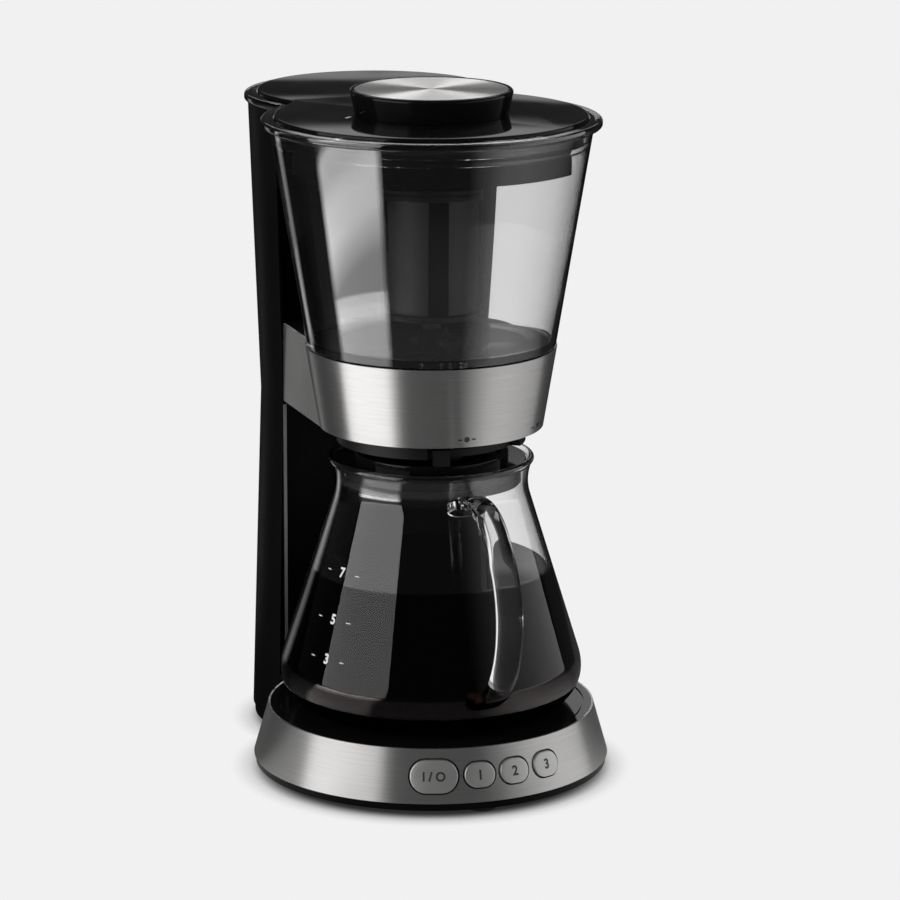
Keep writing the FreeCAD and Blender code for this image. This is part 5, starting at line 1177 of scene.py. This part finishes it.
def write(name, words, size, place, material):
    """Lettering laid on the object by place()."""
    curve = bpy.data.curves.new(name, "FONT")
    curve.body = words
    curve.size = size
    curve.align_x = "CENTER"
    curve.align_y = "CENTER"
    curve.resolution_u = 6
    curve.offset = size * INK_WEIGHT
    text = linked(name, curve)
    bpy.context.view_layer.update()
    made = text.evaluated_get(bpy.context.evaluated_depsgraph_get())
    mesh = bpy.data.meshes.new_from_object(made)
    bpy.data.objects.remove(text)
    bm = bmesh.new()
    bm.from_mesh(mesh)
    bpy.data.meshes.remove(mesh)
    bmesh.ops.triangulate(bm, faces=bm.faces)
    long_edges = [edge for edge in bm.edges if edge.calc_length() > size / 3]
    bmesh.ops.subdivide_edges(bm, edges=long_edges, cuts=2)
    for vertex in bm.verts:
        vertex.co = place(vertex.co.x, vertex.co.y)
    return finish_piece(name, bm, material)


def make_buttons(paints):
    for name, half_size, angle, words, size in BUTTONS:
        make_button(name, *half_size, angle, paints)

        def place(across, up):
            out = BUTTON_PROUD + BUTTON_MARK_PROUD
            return on_band(radians(angle), across, BUTTON_HEIGHT + up, out)
        mark = write(f"{name}_mark", words, size, place, paints["dark_ink"])
        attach(mark, f"{name}_button")


def on_carafe(angle, height):
    """For marks printed round the carafe's outside."""
    curve = carafe_curve(0, CARAFE_LOW.z)

    def place(across, up):
        level = height + up
        index = next(i for i, point in enumerate(curve) if point[1] > level)
        (near, below), (far, above) = curve[index - 1], curve[index]
        reach = near + (far - near) * (level - below) / (above - below) + MARK_PROUD
        return about_axis(radians(angle) + across / reach, reach, level)
    return place


def on_arm(angle, height):
    """For marks printed on the arm's steel band."""
    def place(across, up):
        share = (height + up - ARM_LOW.z) / (ARM_HIGH.z - ARM_LOW.z)
        reach = ARM_FOOT_RADIUS + (ARM_TOP_RADIUS - ARM_FOOT_RADIUS) * share + MARK_PROUD
        return about_axis(radians(angle) + across / reach, reach, height + up)
    return place


def on_lid(across, up):
    """For the tick on the lid's plate."""
    cosine, sine = cos(LID_TICK_TURN), sin(LID_TICK_TURN)
    return (LID_TICK[0] + across * cosine - up * sine,
            AXIS_Y + LID_TICK[1] + across * sine + up * cosine, LID_HIGH.z + MARK_PROUD)


def box_loop(left, right, half_height):
    return [(left, -half_height), (right, -half_height), (right, half_height),
            (left, half_height)]


def dashes(near, far, half_height):
    """A level dash to each side of a mark."""
    return [box_loop(-far, -near, half_height), box_loop(near, far, half_height)]


def circle_loop(radius, steps):
    turns = [2 * pi * step / steps for step in range(steps)]
    return [(radius * cos(turn), radius * sin(turn)) for turn in turns]


def make_marks(paints):
    """The carafe's scale, signs for shut and open on the arm, and the tick on the lid."""
    for number, angle, height in SCALE_MARKS:
        place = on_carafe(angle, height)
        near, far = SCALE_SPAN - SCALE_HALF_DASH, SCALE_SPAN + SCALE_HALF_DASH
        sides = dashes(near, far, SCALE_HALF_LINE)
        line = flat_mark(f"scale_line_{number}", sides, place, paints["white_ink"])
        digit = write(f"scale_{number}", number, SCALE_DIGIT, place, paints["white_ink"])
        for piece in (line, digit):
            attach(piece, "carafe")
    dot = [circle_loop(1.5 * MM, 24)] + dashes(2.6 * MM, 4.8 * MM, SIGN_HALF_LINE)
    drop = [[(0, -1.6 * MM), (3 * MM, 1.4 * MM), (-3 * MM, 1.4 * MM)]]
    drop += dashes(4.6 * MM, 8 * MM, SIGN_HALF_LINE)
    for name, loops, sign in (("shut_sign", dot, SHUT_SIGN), ("open_sign", drop, OPEN_SIGN)):
        piece = flat_mark(name, loops, on_arm(*sign), paints["dark_ink"])
        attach(piece, "housing")
    # The tick: a small white bar on the lid's plate beside the knob.
    bar = [box_loop(-2.6 * MM, 2.6 * MM, 0.7 * MM)]
    tick = flat_mark("lid_tick", bar, on_lid, paints["white_ink"])
    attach(tick, "lid")


def make_edge_highlight_strips(paints):
    """Strips on the edges where the column's shell meets its hollow front, light grey as painted
    highlights.
    """
    section = ((STRIP_OUTER, -STRIP_SUNK), (STRIP_OUTER, STRIP_PROUD),
               (STRIP_INNER, STRIP_PROUD), (STRIP_INNER, -STRIP_SUNK))
    for name, side in (("left_edge_highlight", -1), ("right_edge_highlight", 1)):
        bm = bmesh.new()
        fill_rings(bm, [[
            bm.verts.new((
                side * across, AXIS_Y + sqrt(BASE_RADIUS ** 2 - across ** 2) - lift, height))
            for across, lift in section] for height in (STRIP_LOW, STRIP_HIGH)])
        strip = finish_piece(name, bm, paints["strip_grey"])
        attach(strip, "housing")


def main():
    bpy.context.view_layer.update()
    bpy.context.scene.view_settings.view_transform = "Standard"
    add_camera()
    add_lights()
    add_world()
    add_floor()
    paints = mix_paints()
    paint_frame(paints)
    make_carafe(paints)
    make_chamber(paints)
    make_lid(paints)
    make_basket(paints)
    make_buttons(paints)
    make_marks(paints)
    make_edge_highlight_strips(paints)


main()
